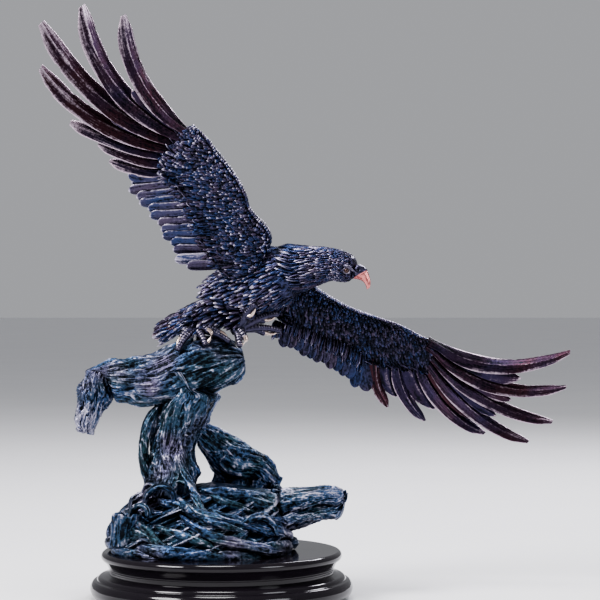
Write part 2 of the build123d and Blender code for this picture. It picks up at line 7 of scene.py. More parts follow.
import bmesh
import bpy
import numpy as np
from bpy.props import FloatProperty, FloatVectorProperty, IntProperty, PointerProperty
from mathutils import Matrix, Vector


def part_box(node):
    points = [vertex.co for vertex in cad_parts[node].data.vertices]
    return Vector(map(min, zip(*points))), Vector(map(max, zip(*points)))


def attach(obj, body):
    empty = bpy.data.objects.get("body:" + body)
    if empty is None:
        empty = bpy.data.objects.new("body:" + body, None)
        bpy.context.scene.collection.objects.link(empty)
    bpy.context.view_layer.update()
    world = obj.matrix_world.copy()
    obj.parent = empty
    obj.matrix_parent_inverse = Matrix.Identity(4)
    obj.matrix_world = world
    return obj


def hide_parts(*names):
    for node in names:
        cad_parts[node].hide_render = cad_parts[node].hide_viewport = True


bl_info = {
    "name": "Bronze Eagle Statuette",
    "version": (1, 0, 0),
    "blender": (4, 5, 0),
    "location": "View3D > Sidebar > Statuette",
    "description": "Builds the plumage, driftwood and plinth of a bronze eagle",
    "category": "Add Mesh",
}

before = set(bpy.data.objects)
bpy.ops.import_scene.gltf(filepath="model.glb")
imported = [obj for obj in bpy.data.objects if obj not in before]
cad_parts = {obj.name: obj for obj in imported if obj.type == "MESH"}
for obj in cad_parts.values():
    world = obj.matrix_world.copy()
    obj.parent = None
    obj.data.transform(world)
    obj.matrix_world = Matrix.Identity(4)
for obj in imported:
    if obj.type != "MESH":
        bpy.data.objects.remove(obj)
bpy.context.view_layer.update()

MM = 0.001
TAU = 2 * np.pi
UP = np.array([0.0, 0.0, 1.0])
FRONT = np.array([0.0, -1.0, 0.0])
RIGHT = np.array([1.0, 0.0, 0.0])


# ---------------------------------------------------------------- settings
class PlumageSettings(bpy.types.PropertyGroup):
    """Sizes of the feathers' detail."""

    barb_spacing: FloatProperty(
        name="Barb spacing", description="Distance between two barb grooves of a long feather",
        default=1.9 * MM, unit="LENGTH")
    barb_depth: FloatProperty(
        name="Barb depth", description="Depth of a barb groove",
        default=0.16 * MM, unit="LENGTH")
    shaft_height: FloatProperty(
        name="Shaft height", description="How far a feather's shaft stands above its vane",
        default=0.6 * MM, unit="LENGTH")
    covert_rows: IntProperty(
        name="Covert rows", description="Rows of small feathers across a wing arm",
        default=20, min=8, max=30)
    secondaries: IntProperty(
        name="Secondaries", description="Long feathers behind each wing arm",
        default=13, min=6, max=18)


class DriftwoodSettings(bpy.types.PropertyGroup):
    """Sizes of the wood's grain."""

    grain_width: FloatProperty(
        name="Grain width", description="Width of the widest fibres",
        default=4.3 * MM, unit="LENGTH")
    grain_length: FloatProperty(
        name="Grain length", description="Length of the widest fibres",
        default=17 * MM, unit="LENGTH")
    grain_depth: FloatProperty(
        name="Grain depth", description="Height from the grooves to the crests",
        default=2.5 * MM, unit="LENGTH")


# What all colour settings share.
COLOUR = {"subtype": "COLOR", "size": 4, "min": 0, "max": 1}


class FinishSettings(bpy.types.PropertyGroup):
    """Colours of the patinas."""

    wood_deep: FloatVectorProperty(
        name="Wood recess", description="Colour in the grooves of the wood",
        default=(0.003, 0.005, 0.008, 1), **COLOUR)
    wood_blue: FloatVectorProperty(
        name="Wood blue", description="First colour of the wood's patina",
        default=(0.036, 0.07, 0.155, 1), **COLOUR)
    wood_teal: FloatVectorProperty(
        name="Wood teal", description="Second colour of the wood's patina",
        default=(0.02, 0.05, 0.066, 1), **COLOUR)
    wood_worn: FloatVectorProperty(
        name="Wood crest", description="Colour of the rubbed crests",
        default=(0.38, 0.37, 0.46, 1), **COLOUR)
    plume_deep: FloatVectorProperty(
        name="Plumage recess", description="Colour between the small feathers",
        default=(0.003, 0.004, 0.008, 1), **COLOUR)
    plume_blue: FloatVectorProperty(
        name="Plumage blue", description="First colour of the plumage",
        default=(0.022, 0.037, 0.1, 1), **COLOUR)
    plume_violet: FloatVectorProperty(
        name="Plumage violet", description="Second colour of the plumage",
        default=(0.062, 0.048, 0.082, 1), **COLOUR)
    plume_worn: FloatVectorProperty(
        name="Plumage edge", description="Colour of the rubbed edges",
        default=(0.5, 0.46, 0.57, 1), **COLOUR)
    quill_brown: FloatVectorProperty(
        name="Flight feather brown", description="First colour of the long feathers",
        default=(0.04, 0.014, 0.02, 1), **COLOUR)
    quill_violet: FloatVectorProperty(
        name="Flight feather violet", description="Second colour of the long feathers",
        default=(0.02, 0.017, 0.045, 1), **COLOUR)
    quill_worn: FloatVectorProperty(
        name="Flight feather edge", description="Colour of their rubbed edges",
        default=(0.46, 0.37, 0.44, 1), **COLOUR)


class StudioSettings(bpy.types.PropertyGroup):
    """The camera and the lights."""

    distance: FloatProperty(
        name="Camera distance", description="From the camera to the middle of the plinth",
        default=1.9, unit="LENGTH")
    lens: FloatProperty(
        name="Lens", description="Focal length", default=123.9, unit="CAMERA")


# ---------------------------------------------------------------- numbers
def unit(v):
    """The vectors of the last axis, each divided by its length."""
    v = np.asarray(v, float)
    return v / np.maximum(np.linalg.norm(v, axis=-1, keepdims=True), 1e-12)


def resample(rows, at):
    """Values at shares 0 to 1 of a list of rows, on the Catmull-Rom curve through them."""
    rows = np.asarray(rows, float)
    last = len(rows) - 1
    place = np.clip(np.asarray(at, float), 0, 1) * last
    index = np.minimum(place.astype(int), last - 1)
    f = place - index
    if rows.ndim > 1:
        f = f[..., None]
    a, b, c, d = (rows[np.clip(index + k, 0, last)] for k in (-1, 0, 1, 2))
    return 0.5 * (2 * b + (c - a) * f + (2 * a - 5 * b + 4 * c - d) * f**2
                  + (3 * b - a - 3 * c + d) * f**3)


# Odd numbers that spread the bits of a lattice point's parts and of a seed, the number
# that mixes them, and the mask that keeps 32 of them.
POINT_SPREAD = (73856093, 19349663, 83492791)
SEED_SPREAD = 2654435761
MIXER = np.uint64(0x2C1B3C6D)
MASK = np.uint64(0xFFFFFFFF)


def lattice(cell, seed):
    """A fixed value of -1 to 1 for each whole-number point, mixed from its bits."""
    c = cell.astype(np.int64).astype(np.uint64)
    mixed = np.uint64(seed * SEED_SPREAD)
    for k, spread in enumerate(POINT_SPREAD):
        mixed = mixed ^ (c[..., k] * np.uint64(spread))
    mixed = mixed & MASK
    for _ in range(2):
        mixed = ((mixed ^ (mixed >> np.uint64(15))) * MIXER) & MASK
    mixed = (mixed ^ (mixed >> np.uint64(13))) & MASK
    return mixed.astype(float) / float(MASK) * 2 - 1


def noise(points, seed=0):
    """Smooth noise of -1 to 1: the lattice values of a cell's eight corners, blended."""
    cell = np.floor(points)
    f = points - cell
    f = f * f * (3 - 2 * f)
    total = 0.0
    for corner in range(8):
        step = np.array([corner & 1, corner >> 1 & 1, corner >> 2 & 1])
        weight = np.prod(np.where(step == 1, f, 1 - f), axis=-1)
        total = total + weight * lattice(cell + step, seed)
    return total


def crests(points, seed=0):
    """Sharp crests of 0 to 1 where the smooth noise passes through nought."""
    return 1 - np.minimum(np.abs(noise(points, seed)) * 2.2, 1)


def smooth_step(x, low, high):
    """0 below low, 1 above high, and a smooth rise between."""
    t = np.clip((x - low) / (high - low), 0, 1)
    return t * t * (3 - 2 * t)


def grid(rows, columns):
    """Shares 0 to 1 down the rows, and angles once round along the columns."""
    return np.linspace(0, 1, rows)[:, None], (np.arange(columns) / columns * TAU)[None]


def stacked(*parts):
    """The parts as one array's last axis, each spread to the shape they share."""
    return np.stack(np.broadcast_arrays(*parts), -1)


# ---------------------------------------------------------------- the frame's shapes
def middle_of(node):
    """The middle of a node's box."""
    return np.mean([np.array(corner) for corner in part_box(node)], axis=0)


def cad_points(node):
    """A CAD node's vertices, and its edges as pairs of numbers."""
    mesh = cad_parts[node].data
    points = np.empty(len(mesh.vertices) * 3, np.float32)
    mesh.vertices.foreach_get("co", points)
    edges = np.empty(len(mesh.edges) * 2, np.int32)
    mesh.edges.foreach_get("vertices", edges)
    return points.reshape(-1, 3).astype(float), edges.reshape(-1, 2)


def long_axis(points, towards):
    """The direction in which a cloud of points is longest, turned to point towards."""
    centred = points - points.mean(0)
    axis = np.linalg.svd(centred[:: max(1, len(centred) // 4000)], full_matrices=False)[2][0]
    return axis * (1 if axis @ np.asarray(towards, float) >= 0 else -1)


def cuts(node, axis, count, ends=(0.01, 0.99)):
    """The points where evenly spaced planes across axis cut the node's edges."""
    points, edges = cad_points(node)
    heights = points @ axis
    low, high = heights.min(), heights.max()
    found = []
    for share in np.linspace(*ends, count):
        # A hair off, so that no plane meets a vertex.
        level = low + share * (high - low) + 1e-7
        a, b = heights[edges[:, 0]] - level, heights[edges[:, 1]] - level
        hit = a * b < 0
        t = (a[hit] / (a[hit] - b[hit]))[:, None]
        found.append(points[edges[hit, 0]] * (1 - t) + points[edges[hit, 1]] * t)
    return found


class Limb:
    """A limb's centre line, its two half-widths and the directions they lie in."""

    def __init__(self, centres, broad, slim, broad_way, slim_way):
        self.centres = np.asarray(centres, float)
        self.broad = np.asarray(broad, float)
        self.slim = np.asarray(slim, float)
        self.broad_way = np.broadcast_to(broad_way, self.centres.shape)
        self.slim_way = np.broadcast_to(slim_way, self.centres.shape)

    def length(self):
        """The length of its centre line."""
        return np.linalg.norm(np.diff(self.centres, axis=0), axis=1).sum()

    def at(self, s, angle):
        """Points and outward normals at shares s of its length and angles round it:
        centre + cos(angle) broad + sin(angle) slim."""
        s, angle = np.broadcast_arrays(s, angle)
        centre = resample(self.centres, s)
        b = resample(self.broad, s)[..., None]
        d = resample(self.slim, s)[..., None]
        bw, sw = resample(self.broad_way, s), resample(self.slim_way, s)
        cos, sin = np.cos(angle)[..., None], np.sin(angle)[..., None]
        return centre + cos * b * bw + sin * d * sw, unit(cos / b * bw + sin / d * sw)

    def heading(self, s):
        """The direction of its centre line at shares s of its length."""
        return unit(resample(self.centres, np.minimum(s + 0.02, 1))
                    - resample(self.centres, np.maximum(s - 0.02, 0)))

    def grown(self, amount):
        """The same limb, thicker by amount."""
        return Limb(self.centres, self.broad + amount, self.slim + amount,
                    self.broad_way, self.slim_way)

    def turned(self, broad=1.0, slim=1.0):
        """The same limb from its other end, its half-widths multiplied by broad and slim."""
        return Limb(self.centres[::-1], self.broad[::-1] * broad, self.slim[::-1] * slim,
                    self.broad_way[::-1], self.slim_way[::-1])


def along(path, broad, slim, facing):
    """The limb on a path of points whose broad direction is square to facing."""
    headings = unit(np.gradient(path, axis=0))
    broad_way = unit(np.cross(headings, facing))
    return Limb(path, broad, slim, broad_way, np.cross(broad_way, headings))


def joined(*limbs):
    """Several limbs end to end as one, their widths and ways carried over the joins."""
    return Limb(*(np.concatenate([getattr(limb, part) for limb in limbs])
                  for part in ("centres", "broad", "slim", "broad_way", "slim_way")))


def extended(limb, first, last):
    """The limb made longer at its two ends, straight on, by first and last millimetres."""
    a = limb.centres[0] - unit(limb.centres[1] - limb.centres[0]) * first * MM
    b = limb.centres[-1] + unit(limb.centres[-1] - limb.centres[-2]) * last * MM
    ends = (np.concatenate([rows[:1], rows, rows[-1:]])
            for rows in (limb.broad, limb.slim, limb.broad_way, limb.slim_way))
    return Limb(np.concatenate([[a], limb.centres, [b]]), *ends)


def spans(cut, broad_way, slim_way):
    """Where a cut's middle lies along two directions, and its half-widths there."""
    b, d = cut @ broad_way, cut @ slim_way
    middle = (b.max() + b.min()) / 2, (d.max() + d.min()) / 2
    return *middle, (b.max() - b.min()) / 2, (d.max() - d.min()) / 2


def read_limb(node, towards, broad_hint, count=12, axis=None, ends=(0.02, 0.98)):
    """A node's limb: each cut's extent along a fixed broad and a fixed slim direction."""
    if axis is None:
        axis = long_axis(cad_points(node)[0], towards)
    hint = np.asarray(broad_hint, float)
    broad_way = unit(hint - axis * (hint @ axis))
    slim_way = np.cross(axis, broad_way)
    centres, broads, slims = [], [], []
    for cut in cuts(node, axis, count, ends):
        b, d, broad, slim = spans(cut, broad_way, slim_way)
        centres.append(axis * (cut @ axis).mean() + broad_way * b + slim_way * d)
        broads.append(broad)
        slims.append(slim)
    return Limb(centres, broads, slims, broad_way, slim_way)


def read_blade(node, towards, lead_hint, count=12, ends=(0.03, 0.97)):
    """A flat node's limb, where each cut's own longest direction is its broad one and
    points to the leading edge, and its slim one points to the front."""
    axis = long_axis(cad_points(node)[0], towards)
    rows = []
    for cut in cuts(node, axis, count, ends):
        broad_way = long_axis(cut, lead_hint)
        slim_way = unit(np.cross(axis, broad_way))
        slim_way = slim_way * (1 if slim_way @ FRONT > 0 else -1)
        b, d, broad, slim = spans(cut, broad_way, slim_way)
        flat = broad_way * b + slim_way * d
        # The centre slides square to the broad direction, up to the cut's own level.
        rest = unit(axis - broad_way * (axis @ broad_way))
        centre = flat + rest * ((cut @ axis).mean() - flat @ axis) / (rest @ axis)
        rows.append((centre, broad, slim, broad_way, slim_way))
    return Limb(*(np.array(part) for part in zip(*rows)))


# ---------------------------------------------------------------- meshes
def closed_tube(points):
    """A rows by columns by 3 tube as points, the quads of its grid, joined round, and
    the triangles that close each end on a pole."""
    rows, columns = points.shape[:2]
    around = np.arange(columns)
    after = (around + 1) % columns
    row = np.arange(rows - 1)[:, None] * columns
    above = row + columns
    quads = np.stack([row + around, row + after, above + after, above + around], -1)
    foot = np.full(columns, rows * columns)
    last = (rows - 1) * columns
    caps = np.vstack([np.stack([after, around, foot], -1),
                      np.stack([last + around, last + after, foot + 1], -1)])
    poles = np.stack([points[0].mean(0), points[-1].mean(0)])
    return np.vstack([points.reshape(-1, 3), poles]), quads.reshape(-1, 4), caps


def pole_values(values):
    """A grid's values with one more for each pole."""
    return np.concatenate([values.reshape(-1), [values[0].mean(), values[-1].mean()]])


class Build:
    """Collects parts of one piece: points, faces, and the worn and tone values."""

    def __init__(self):
        self.points, self.quads, self.triangles, self.worn, self.tone = [], [], [], [], []
        self.total = 0

    def add(self, points, quads, triangles, worn, tone):
        """Adds points with their worn and tone values, and faces that number them from 0."""
        self.points.append(points)
        self.quads.append(quads + self.total)
        self.triangles.append(triangles + self.total)
        self.worn.append(worn)
        self.tone.append(tone)
        self.total += len(points)

    def tube(self, points, worn, tone=0.5):
        """Adds a closed tube given as a grid, with worn and tone values that spread to it."""
        values = (pole_values(np.broadcast_to(v, points.shape[:2]).astype(float))
                  for v in (worn, tone))
        self.add(*closed_tube(points), *values)

    def finish(self, name, kind, slot, replaces=()):
        """Makes the piece, turns its faces outwards and lets it ride on the root body."""
        quads, triangles = np.vstack(self.quads), np.vstack(self.triangles)
        corners = np.concatenate([quads.ravel(), triangles.ravel()])
        sizes = np.repeat([4, 3], [len(quads), len(triangles)])
        mesh = bpy.data.meshes.new(name)
        mesh.vertices.add(self.total)
        mesh.vertices.foreach_set("co", np.vstack(self.points).astype(np.float32).ravel())
        mesh.loops.add(len(corners))
        mesh.loops.foreach_set("vertex_index", corners.astype(np.int32))
        mesh.polygons.add(len(sizes))
        starts = np.cumsum(sizes) - sizes
        mesh.polygons.foreach_set("loop_start", starts.astype(np.int32))
        mesh.update(calc_edges=True)
        mesh.validate()
        for label, values in (("worn", self.worn), ("tone", self.tone)):
            attribute = mesh.attributes.new(label, "FLOAT", "POINT")
            attribute.data.foreach_set("value", np.concatenate(values).astype(np.float32))
        turn_outwards(mesh)
        mesh.polygons.foreach_set("use_smooth", np.ones(len(mesh.polygons), bool))
        mesh.materials.append(finish_of(kind))
        piece = bpy.data.objects.new(name, mesh)
        bpy.context.scene.collection.objects.link(piece)
        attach(piece, "root")
        if replaces:
            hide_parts(*replaces)


def turn_outwards(mesh):
    """Recalculates the faces' directions so that each closed part faces outwards."""
    shape = bmesh.new()
    shape.from_mesh(mesh)
    bmesh.ops.recalc_face_normals(shape, faces=shape.faces)
    shape.to_mesh(mesh)
    shape.free()


# ---------------------------------------------------------------- feathers
LEAF_ROWS = np.array([0.0, 0.3, 0.62, 0.86, 0.98])[:, None]
LEAF_WIDTHS = {
    "round": np.array([0.45, 0.95, 1.0, 0.78, 0.3])[:, None],
    "lance": np.array([0.5, 0.9, 0.9, 0.55, 0.14])[:, None],
}
# The leaf's section from one edge to the other and back below: how far across each point
# is, how far up, and how worn.
LEAF_SECTION = np.array([(-1, 0, 0.5), (-0.5, 0.06, 0.24), (0, 0.13, 0.46), (0.5, 0.06, 0.24),
                         (1, 0, 0.5), (0, -0.04, 0.0)])


def leaf(outline):
    """One small feather in its own space: x across, y from root 0 to tip 1, z up.
    An arched lens with a raised shaft and a tip that dips; also its worn values."""
    y, width = LEAF_ROWS, LEAF_WIDTHS[outline]
    across, up, rubbed = LEAF_SECTION.T
    x = across * width / 2
    z = up * width + 0.08 * np.sin(np.pi * y) - 0.3 * x**2
    worn = rubbed * (0.35 + 0.65 * y) + 0.45 * smooth_step(y, 0.7, 1)
    return *closed_tube(stacked(x, y, z)), pole_values(np.clip(worn, 0, 1))


# How far a small feather turns aside (one sigma, as a slope), how its length and its
# width vary, and how high it stands for its length.
LEAF_TURN = 0.09
LEAF_LENGTHS, LEAF_BREADTHS = (0.88, 1.12), (0.9, 1.1)
LEAF_HEIGHT = 0.8


def lay_leaves(build, outline, places, normals, ways, lengths, widths, lifts, draw,
               rub=(0.4, 1.25)):
    """Adds one leaf at each place: its y axis is the way, raised from the skin by lift,
    its z axis the normal, with a little of its own turn, size and tone. rub is the range
    by which its worn values are multiplied."""
    shaped, quads, caps, worn = leaf(outline)
    count = len(places)
    normals = unit(normals)
    ways = unit(ways - normals * (ways * normals).sum(-1, keepdims=True))
    turn = draw.normal(0, LEAF_TURN, (count, 1))
    sides = np.cross(ways, normals)
    ways = unit(ways + sides * turn)
    lifts = np.broadcast_to(lifts, count)[:, None]
    raised = unit(ways * np.cos(lifts) + normals * np.sin(lifts))
    sides = unit(np.cross(raised, normals))
    tops = np.cross(sides, raised)
    lengths = np.broadcast_to(lengths, count) * draw.uniform(*LEAF_LENGTHS, count)
    widths = np.broadcast_to(widths, count) * draw.uniform(*LEAF_BREADTHS, count)
    lengths, widths = lengths[:, None, None], widths[:, None, None]
    points = (places[:, None] + shaped[None, :, :1] * widths * sides[:, None]
              + shaped[None, :, 1:2] * lengths * raised[:, None]
              + shaped[None, :, 2:] * lengths * LEAF_HEIGHT * tops[:, None])
    step = np.arange(count)[:, None, None] * len(shaped)
    rubbed = rub[0] + (rub[1] - rub[0]) * draw.uniform(0, 1, (count, 1)) ** 1.6
    tone = np.repeat(draw.uniform(0, 1, count), len(shaped))
    build.add(points.reshape(-1, 3), (quads[None] + step).reshape(-1, 4),
              (caps[None] + step).reshape(-1, 3), np.clip(worn[None] * rubbed, 0, 1).ravel(), tone)


# A long feather: its shaft's width, the lengths of the notches in its fringe and of the
# streaks on its vane, and the points along its line.
SHAFT_WIDTH = 0.9 * MM
FRINGE_LENGTH = 9 * MM
STREAK_LENGTH = 16 * MM
QUILL_POINTS = 49


def vane(build, centres, halves, thick, broad_ways, slim_ways, tone, rows=150, columns=40,
         cup=0.12, seed=0, tipped=0.4, rubbed=1.0):
    """Adds a long feather along a centre line: a lens of the given half-widths, cupped to
    the back, with a shaft ridge down the middle and barb grooves that leave the shaft at
    a slant. Its worn values rise on the shaft, the edges and, by tipped, the tip."""
    plumage = bpy.context.scene.plumage_settings
    s, angle = grid(rows, columns)
    centre, half = resample(centres, s), resample(halves, s)[..., None]
    broad_way, slim_way = unit(resample(broad_ways, s)), unit(resample(slim_ways, s))
    length = np.linalg.norm(np.diff(np.asarray(centres), axis=0), axis=1).sum()
    # The fringe is notched where barbs part.
    across = np.cos(angle)
    fray = noise(stacked(s * length / FRINGE_LENGTH, np.sign(across) * 3, seed + 0.5), 5)
    notch = smooth_step(fray, 0.4, 0.65) * np.abs(across) ** 4 * smooth_step(s, 0.3, 0.55)
    x = across * (1 - 0.12 * notch)
    side = np.sign(np.sin(angle))
    lens = side * np.abs(np.sin(angle)) ** 0.8 * thick / 2
    off = np.abs(x) * half[..., 0]
    shaft = np.exp(-((off / SHAFT_WIDTH) ** 2)) * (1 - 0.7 * s)
    barb = (off + 0.07 * s * length) / plumage.barb_spacing
    streak = noise(stacked(barb * 1.7, np.sign(across) * 2, s * length / STREAK_LENGTH + seed), 8)
    barbs = (0.4 * np.sin(barb * TAU) + streak) * (1 - shaft)
    z = (lens - cup * half[..., 0] * x**2
         + side * plumage.shaft_height * shaft
         + side * plumage.barb_depth * barbs * np.minimum(4 * (1 - np.abs(x)), 1))
    points = centre + x[..., None] * half * broad_way + z[..., None] * slim_way
    edge = np.maximum(np.abs(x) ** 7, smooth_step(s, 0.96, 1))
    worn = (0.25 + 0.5 * shaft + 0.75 * edge + 0.26 * barbs
            + tipped * (0.5 * smooth_step(s, 0.3, 0.9) + 0.6 * smooth_step(s, 0.8, 1)))
    worn = worn * rubbed * (0.35 + 0.65 * smooth_step(s, 0, 0.3))
    build.tube(points, np.clip(worn, 0, 1), tone)


def quill(build, root, bow, tip, width, thick, facing, tone, seed, rows=60, tilt=0.3,
          tipped=0.4, rubbed=1.0):
    """Adds a feather on the curve from root to tip that leans towards bow; its width
    swells from the root and rounds off at the tip, and it leans by tilt so that its
    neighbours overlap."""
    t = np.linspace(0, 1, QUILL_POINTS)[:, None]
    centres = root * (1 - t) ** 2 + 2 * bow * t * (1 - t) + tip * t**2
    t = t[:, 0]
    end = min(0.6 * width / np.linalg.norm(tip - root), 0.4)
    halves = width / 2 * np.interp(t, [0, 0.15, 0.5], [0.55, 0.85, 1])
    halves = halves * np.sqrt(np.clip(1 - (np.clip(t - 1 + end, 0, 1) / end) ** 2, 0.02, 1))
    headings = unit(np.gradient(centres, axis=0))
    flat = unit(np.cross(headings, facing))
    out = unit(np.cross(flat, headings))
    broad = flat * np.cos(tilt) + out * np.sin(tilt)
    slim = unit(np.cross(headings, broad))
    slim = slim * np.where((slim @ facing) > 0, 1, -1)[:, None]
    vane(build, centres, halves, thick, broad, slim, tone, rows=rows, columns=32, seed=seed,
         tipped=tipped, rubbed=rubbed)


# ---------------------------------------------------------------- finishes
# The finishes that most pieces have, each with its material slot.
WOOD = ("driftwood patina", "driftwood_bronze")
PLUMAGE = ("plumage patina", "plumage_bronze")
FLIGHT = ("flight feather patina", "flight_feather_bronze")


class Nodes:
    """A material's node tree, with short ways to add and join its nodes."""

    def __init__(self, name):
        self.material = bpy.data.materials.new(name)
        self.material.use_nodes = True
        self.tree = self.material.node_tree
        self.shader = self.tree.nodes["Principled BSDF"]
        self.where = self.tree.nodes.new("ShaderNodeTexCoord").outputs["Object"]

    def feed(self, target, value):
        """Joins a node's output to the target socket, or sets the socket to a number or
        a colour."""
        if isinstance(value, bpy.types.NodeSocket):
            self.tree.links.new(value, target)
        else:
            target.default_value = value

    def paint(self, colour, rough):
        """Gives the surface its colour and its roughness."""
        self.feed(self.shader.inputs["Base Color"], colour)
        self.feed(self.shader.inputs["Roughness"], rough)

    def attribute(self, label):
        """The mesh's own value of that name."""
        node = self.tree.nodes.new("ShaderNodeAttribute")
        node.attribute_name = label
        return node.outputs["Fac"]

    def noise(self, scale, detail=4.0, rough=0.55, stretch=(1, 1, 1), warp=0.0):
        """Cloudy noise of 0 to 1 with scale clouds to the metre."""
        mapping = self.tree.nodes.new("ShaderNodeMapping")
        mapping.inputs["Scale"].default_value = stretch
        self.feed(mapping.inputs["Vector"], self.where)
        node = self.tree.nodes.new("ShaderNodeTexNoise")
        node.inputs["Scale"].default_value = scale
        node.inputs["Detail"].default_value = detail
        node.inputs["Roughness"].default_value = rough
        node.inputs["Distortion"].default_value = warp
        self.feed(node.inputs["Vector"], mapping.outputs["Vector"])
        return node.outputs["Fac"]

    def cells(self, scale):
        """The distance to the nearest of points strewn scale to the metre."""
        node = self.tree.nodes.new("ShaderNodeTexVoronoi")
        node.inputs["Scale"].default_value = scale
        self.feed(node.inputs["Vector"], self.where)
        return node.outputs["Distance"]

    def math(self, operation, a, b, clamp=False):
        """The sum, difference or product of two values."""
        node = self.tree.nodes.new("ShaderNodeMath")
        node.operation = operation
        node.use_clamp = clamp
        self.feed(node.inputs[0], a)
        self.feed(node.inputs[1], b)
        return node.outputs[0]

    def line(self, value, slope, start, clamp=False):
        """The value times slope, plus start."""
        return self.math("ADD", self.math("MULTIPLY", value, slope), start, clamp)

    def ramp(self, value, low, high):
        """The value, stretched so that low becomes 0 and high becomes 1."""
        node = self.tree.nodes.new("ShaderNodeMapRange")
        node.interpolation_type = "SMOOTHSTEP"
        self.feed(node.inputs["Value"], value)
        node.inputs["From Min"].default_value = low
        node.inputs["From Max"].default_value = high
        return node.outputs["Result"]

    def mix(self, share, a, b):
        """Colour a where share is 0, b where it is 1."""
        node = self.tree.nodes.new("ShaderNodeMix")
        node.data_type = "RGBA"
        self.feed(node.inputs["Factor"], share)
        self.feed(node.inputs[6], a)
        self.feed(node.inputs[7], b)
        return node.outputs[2]

    def bump(self, height, distance, strength):
        """Raises the shading by height, where 1 stands for the distance."""
        node = self.tree.nodes.new("ShaderNodeBump")
        node.inputs["Distance"].default_value = distance
        node.inputs["Strength"].default_value = strength
        self.feed(node.inputs["Height"], height)
        self.feed(self.shader.inputs["Normal"], node.outputs["Normal"])


def patina(name, deep, first, second, crest, hue_scale=26, wear=(0.3, 0.95), gloss=0.34,
           stain=None, grain=420, recess=(0.02, 0.34), relief=0.35 * MM,
           speckle=0.8):
    """Chemically coloured bronze: dark in the recesses, two hues that drift into each
    other over the surface, and rubbed metal where the worn value is high."""
    n = Nodes(name)
    worn, tone = n.attribute("worn"), n.attribute("tone")
    drift = n.noise(hue_scale, 3.0, 0.6, warp=0.6)
    share = n.ramp(n.math("ADD", n.math("MULTIPLY", drift, 0.75), n.math("MULTIPLY", tone, 0.3)),
                   0.36, 0.72)
    body = n.mix(share, first, second)
    if stain is not None:
        body = n.mix(n.ramp(n.noise(hue_scale * 0.6, 2.0, 0.5), 0.52, 0.7), body, stain)
    speck = n.noise(grain, 3.0, 0.65)
    height = n.math("ADD", worn, n.math("MULTIPLY", n.math("SUBTRACT", speck, 0.5), speckle))
    body = n.mix(n.ramp(height, *recess), deep, body)
    colour = n.mix(n.ramp(height, *wear), body, crest)
    n.paint(colour, n.line(speck, 0.3, gloss - 0.12, clamp=True))
    n.shader.inputs["Metallic"].default_value = 0.88
    n.bump(n.math("ADD", speck, n.math("MULTIPLY", n.cells(grain * 1.3), 0.35)), relief, 0.55)
    return n.material


def lacquer():
    """Black gloss lacquer over turned wood: near black, with fine dust and soft polish."""
    n = Nodes("black lacquer")
    colour = n.mix(n.noise(9, 4.0, 0.6), (0.004, 0.0035, 0.005, 1), (0.012, 0.009, 0.013, 1))
    n.paint(colour, n.line(n.noise(60, 5.0, 0.6), 0.1, 0.05))
    n.shader.inputs["Specular IOR Level"].default_value = 0.35
    return n.material


def plain_metal(name, dark, light, rough, metallic, scale):
    """Small metal parts: two close colours in a fine cloud, with matching roughness."""
    n = Nodes(name)
    cloud = n.noise(scale, 3.0, 0.6)
    n.paint(n.mix(cloud, dark, light), n.line(cloud, 0.2, rough - 0.1))
    n.shader.inputs["Metallic"].default_value = metallic
    n.bump(cloud, 0.05 * MM, 0.3)
    return n.material


def felt():
    """Pressed black felt: short crossing fibres, with sheen."""
    n = Nodes("black felt")
    fibre = n.noise(900, 4.0, 0.7, stretch=(1, 1, 3), warp=2.0)
    n.paint(n.mix(fibre, (0.004, 0.004, 0.005, 1), (0.03, 0.03, 0.034, 1)), 0.95)
    n.shader.inputs["Sheen Weight"].default_value = 0.3
    n.bump(fibre, 0.3 * MM, 0.8)
    return n.material


# Dark colour, light colour, roughness, metallic share and the cloud's scale.
PLAIN_METALS = {
    "zinc plate": ((0.4, 0.4, 0.42, 1), (0.66, 0.66, 0.68, 1), 0.35, 1.0, 200),
    "beak bronze": ((0.42, 0.1, 0.1, 1), (0.68, 0.29, 0.27, 1), 0.26, 0.8, 260),
    "talon bronze": ((0.4, 0.27, 0.23, 1), (0.72, 0.62, 0.56, 1), 0.26, 0.85, 300),
    "eye bronze": ((0.02, 0.012, 0.014, 1), (0.09, 0.05, 0.04, 1), 0.15, 0.7, 200),
}


def finish_of(kind):
    """The named finish, made once and kept."""
    known = bpy.data.materials.get(kind)
    if known is not None:
        return known
    if kind in PLAIN_METALS:
        return plain_metal(kind, *PLAIN_METALS[kind])
    if kind == "black lacquer":
        return lacquer()
    if kind == "black felt":
        return felt()
    c = bpy.context.scene.finish_settings
    colours, words = {
        "driftwood patina": ((c.wood_deep, c.wood_blue, c.wood_teal, c.wood_worn), dict(
            hue_scale=24, wear=(0.5, 1.15), gloss=0.4, stain=(0.1, 0.085, 0.14, 1),
            recess=(0.04, 0.46), grain=330, relief=0.9 * MM, speckle=1.5)),
        "plumage patina": ((c.plume_deep, c.plume_blue, c.plume_violet, c.plume_worn), dict(
            hue_scale=22, wear=(0.42, 1.0), gloss=0.36)),
        "flight feather patina": ((c.plume_deep, c.quill_brown, c.quill_violet, c.quill_worn),
                                  dict(hue_scale=15, wear=(0.45, 1.0), gloss=0.33)),
        "foot patina": ((c.plume_deep, (0.035, 0.035, 0.065, 1), (0.05, 0.045, 0.08, 1),
                         (0.46, 0.41, 0.47, 1)), dict(wear=(0.45, 1.0), gloss=0.3)),
    }[kind]
    return patina(kind, *colours, **words)


def refinish(node, kind):
    """Gives a CAD node that stays visible its finish."""
    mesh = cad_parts[node].data
    mesh.materials.clear()
    mesh.materials.append(finish_of(kind))


# ---------------------------------------------------------------- driftwood
# From one ring to the next round a knot and in a broken end.
KNOT_RING = 2.6 * MM
GROWTH_RING = 2.4 * MM
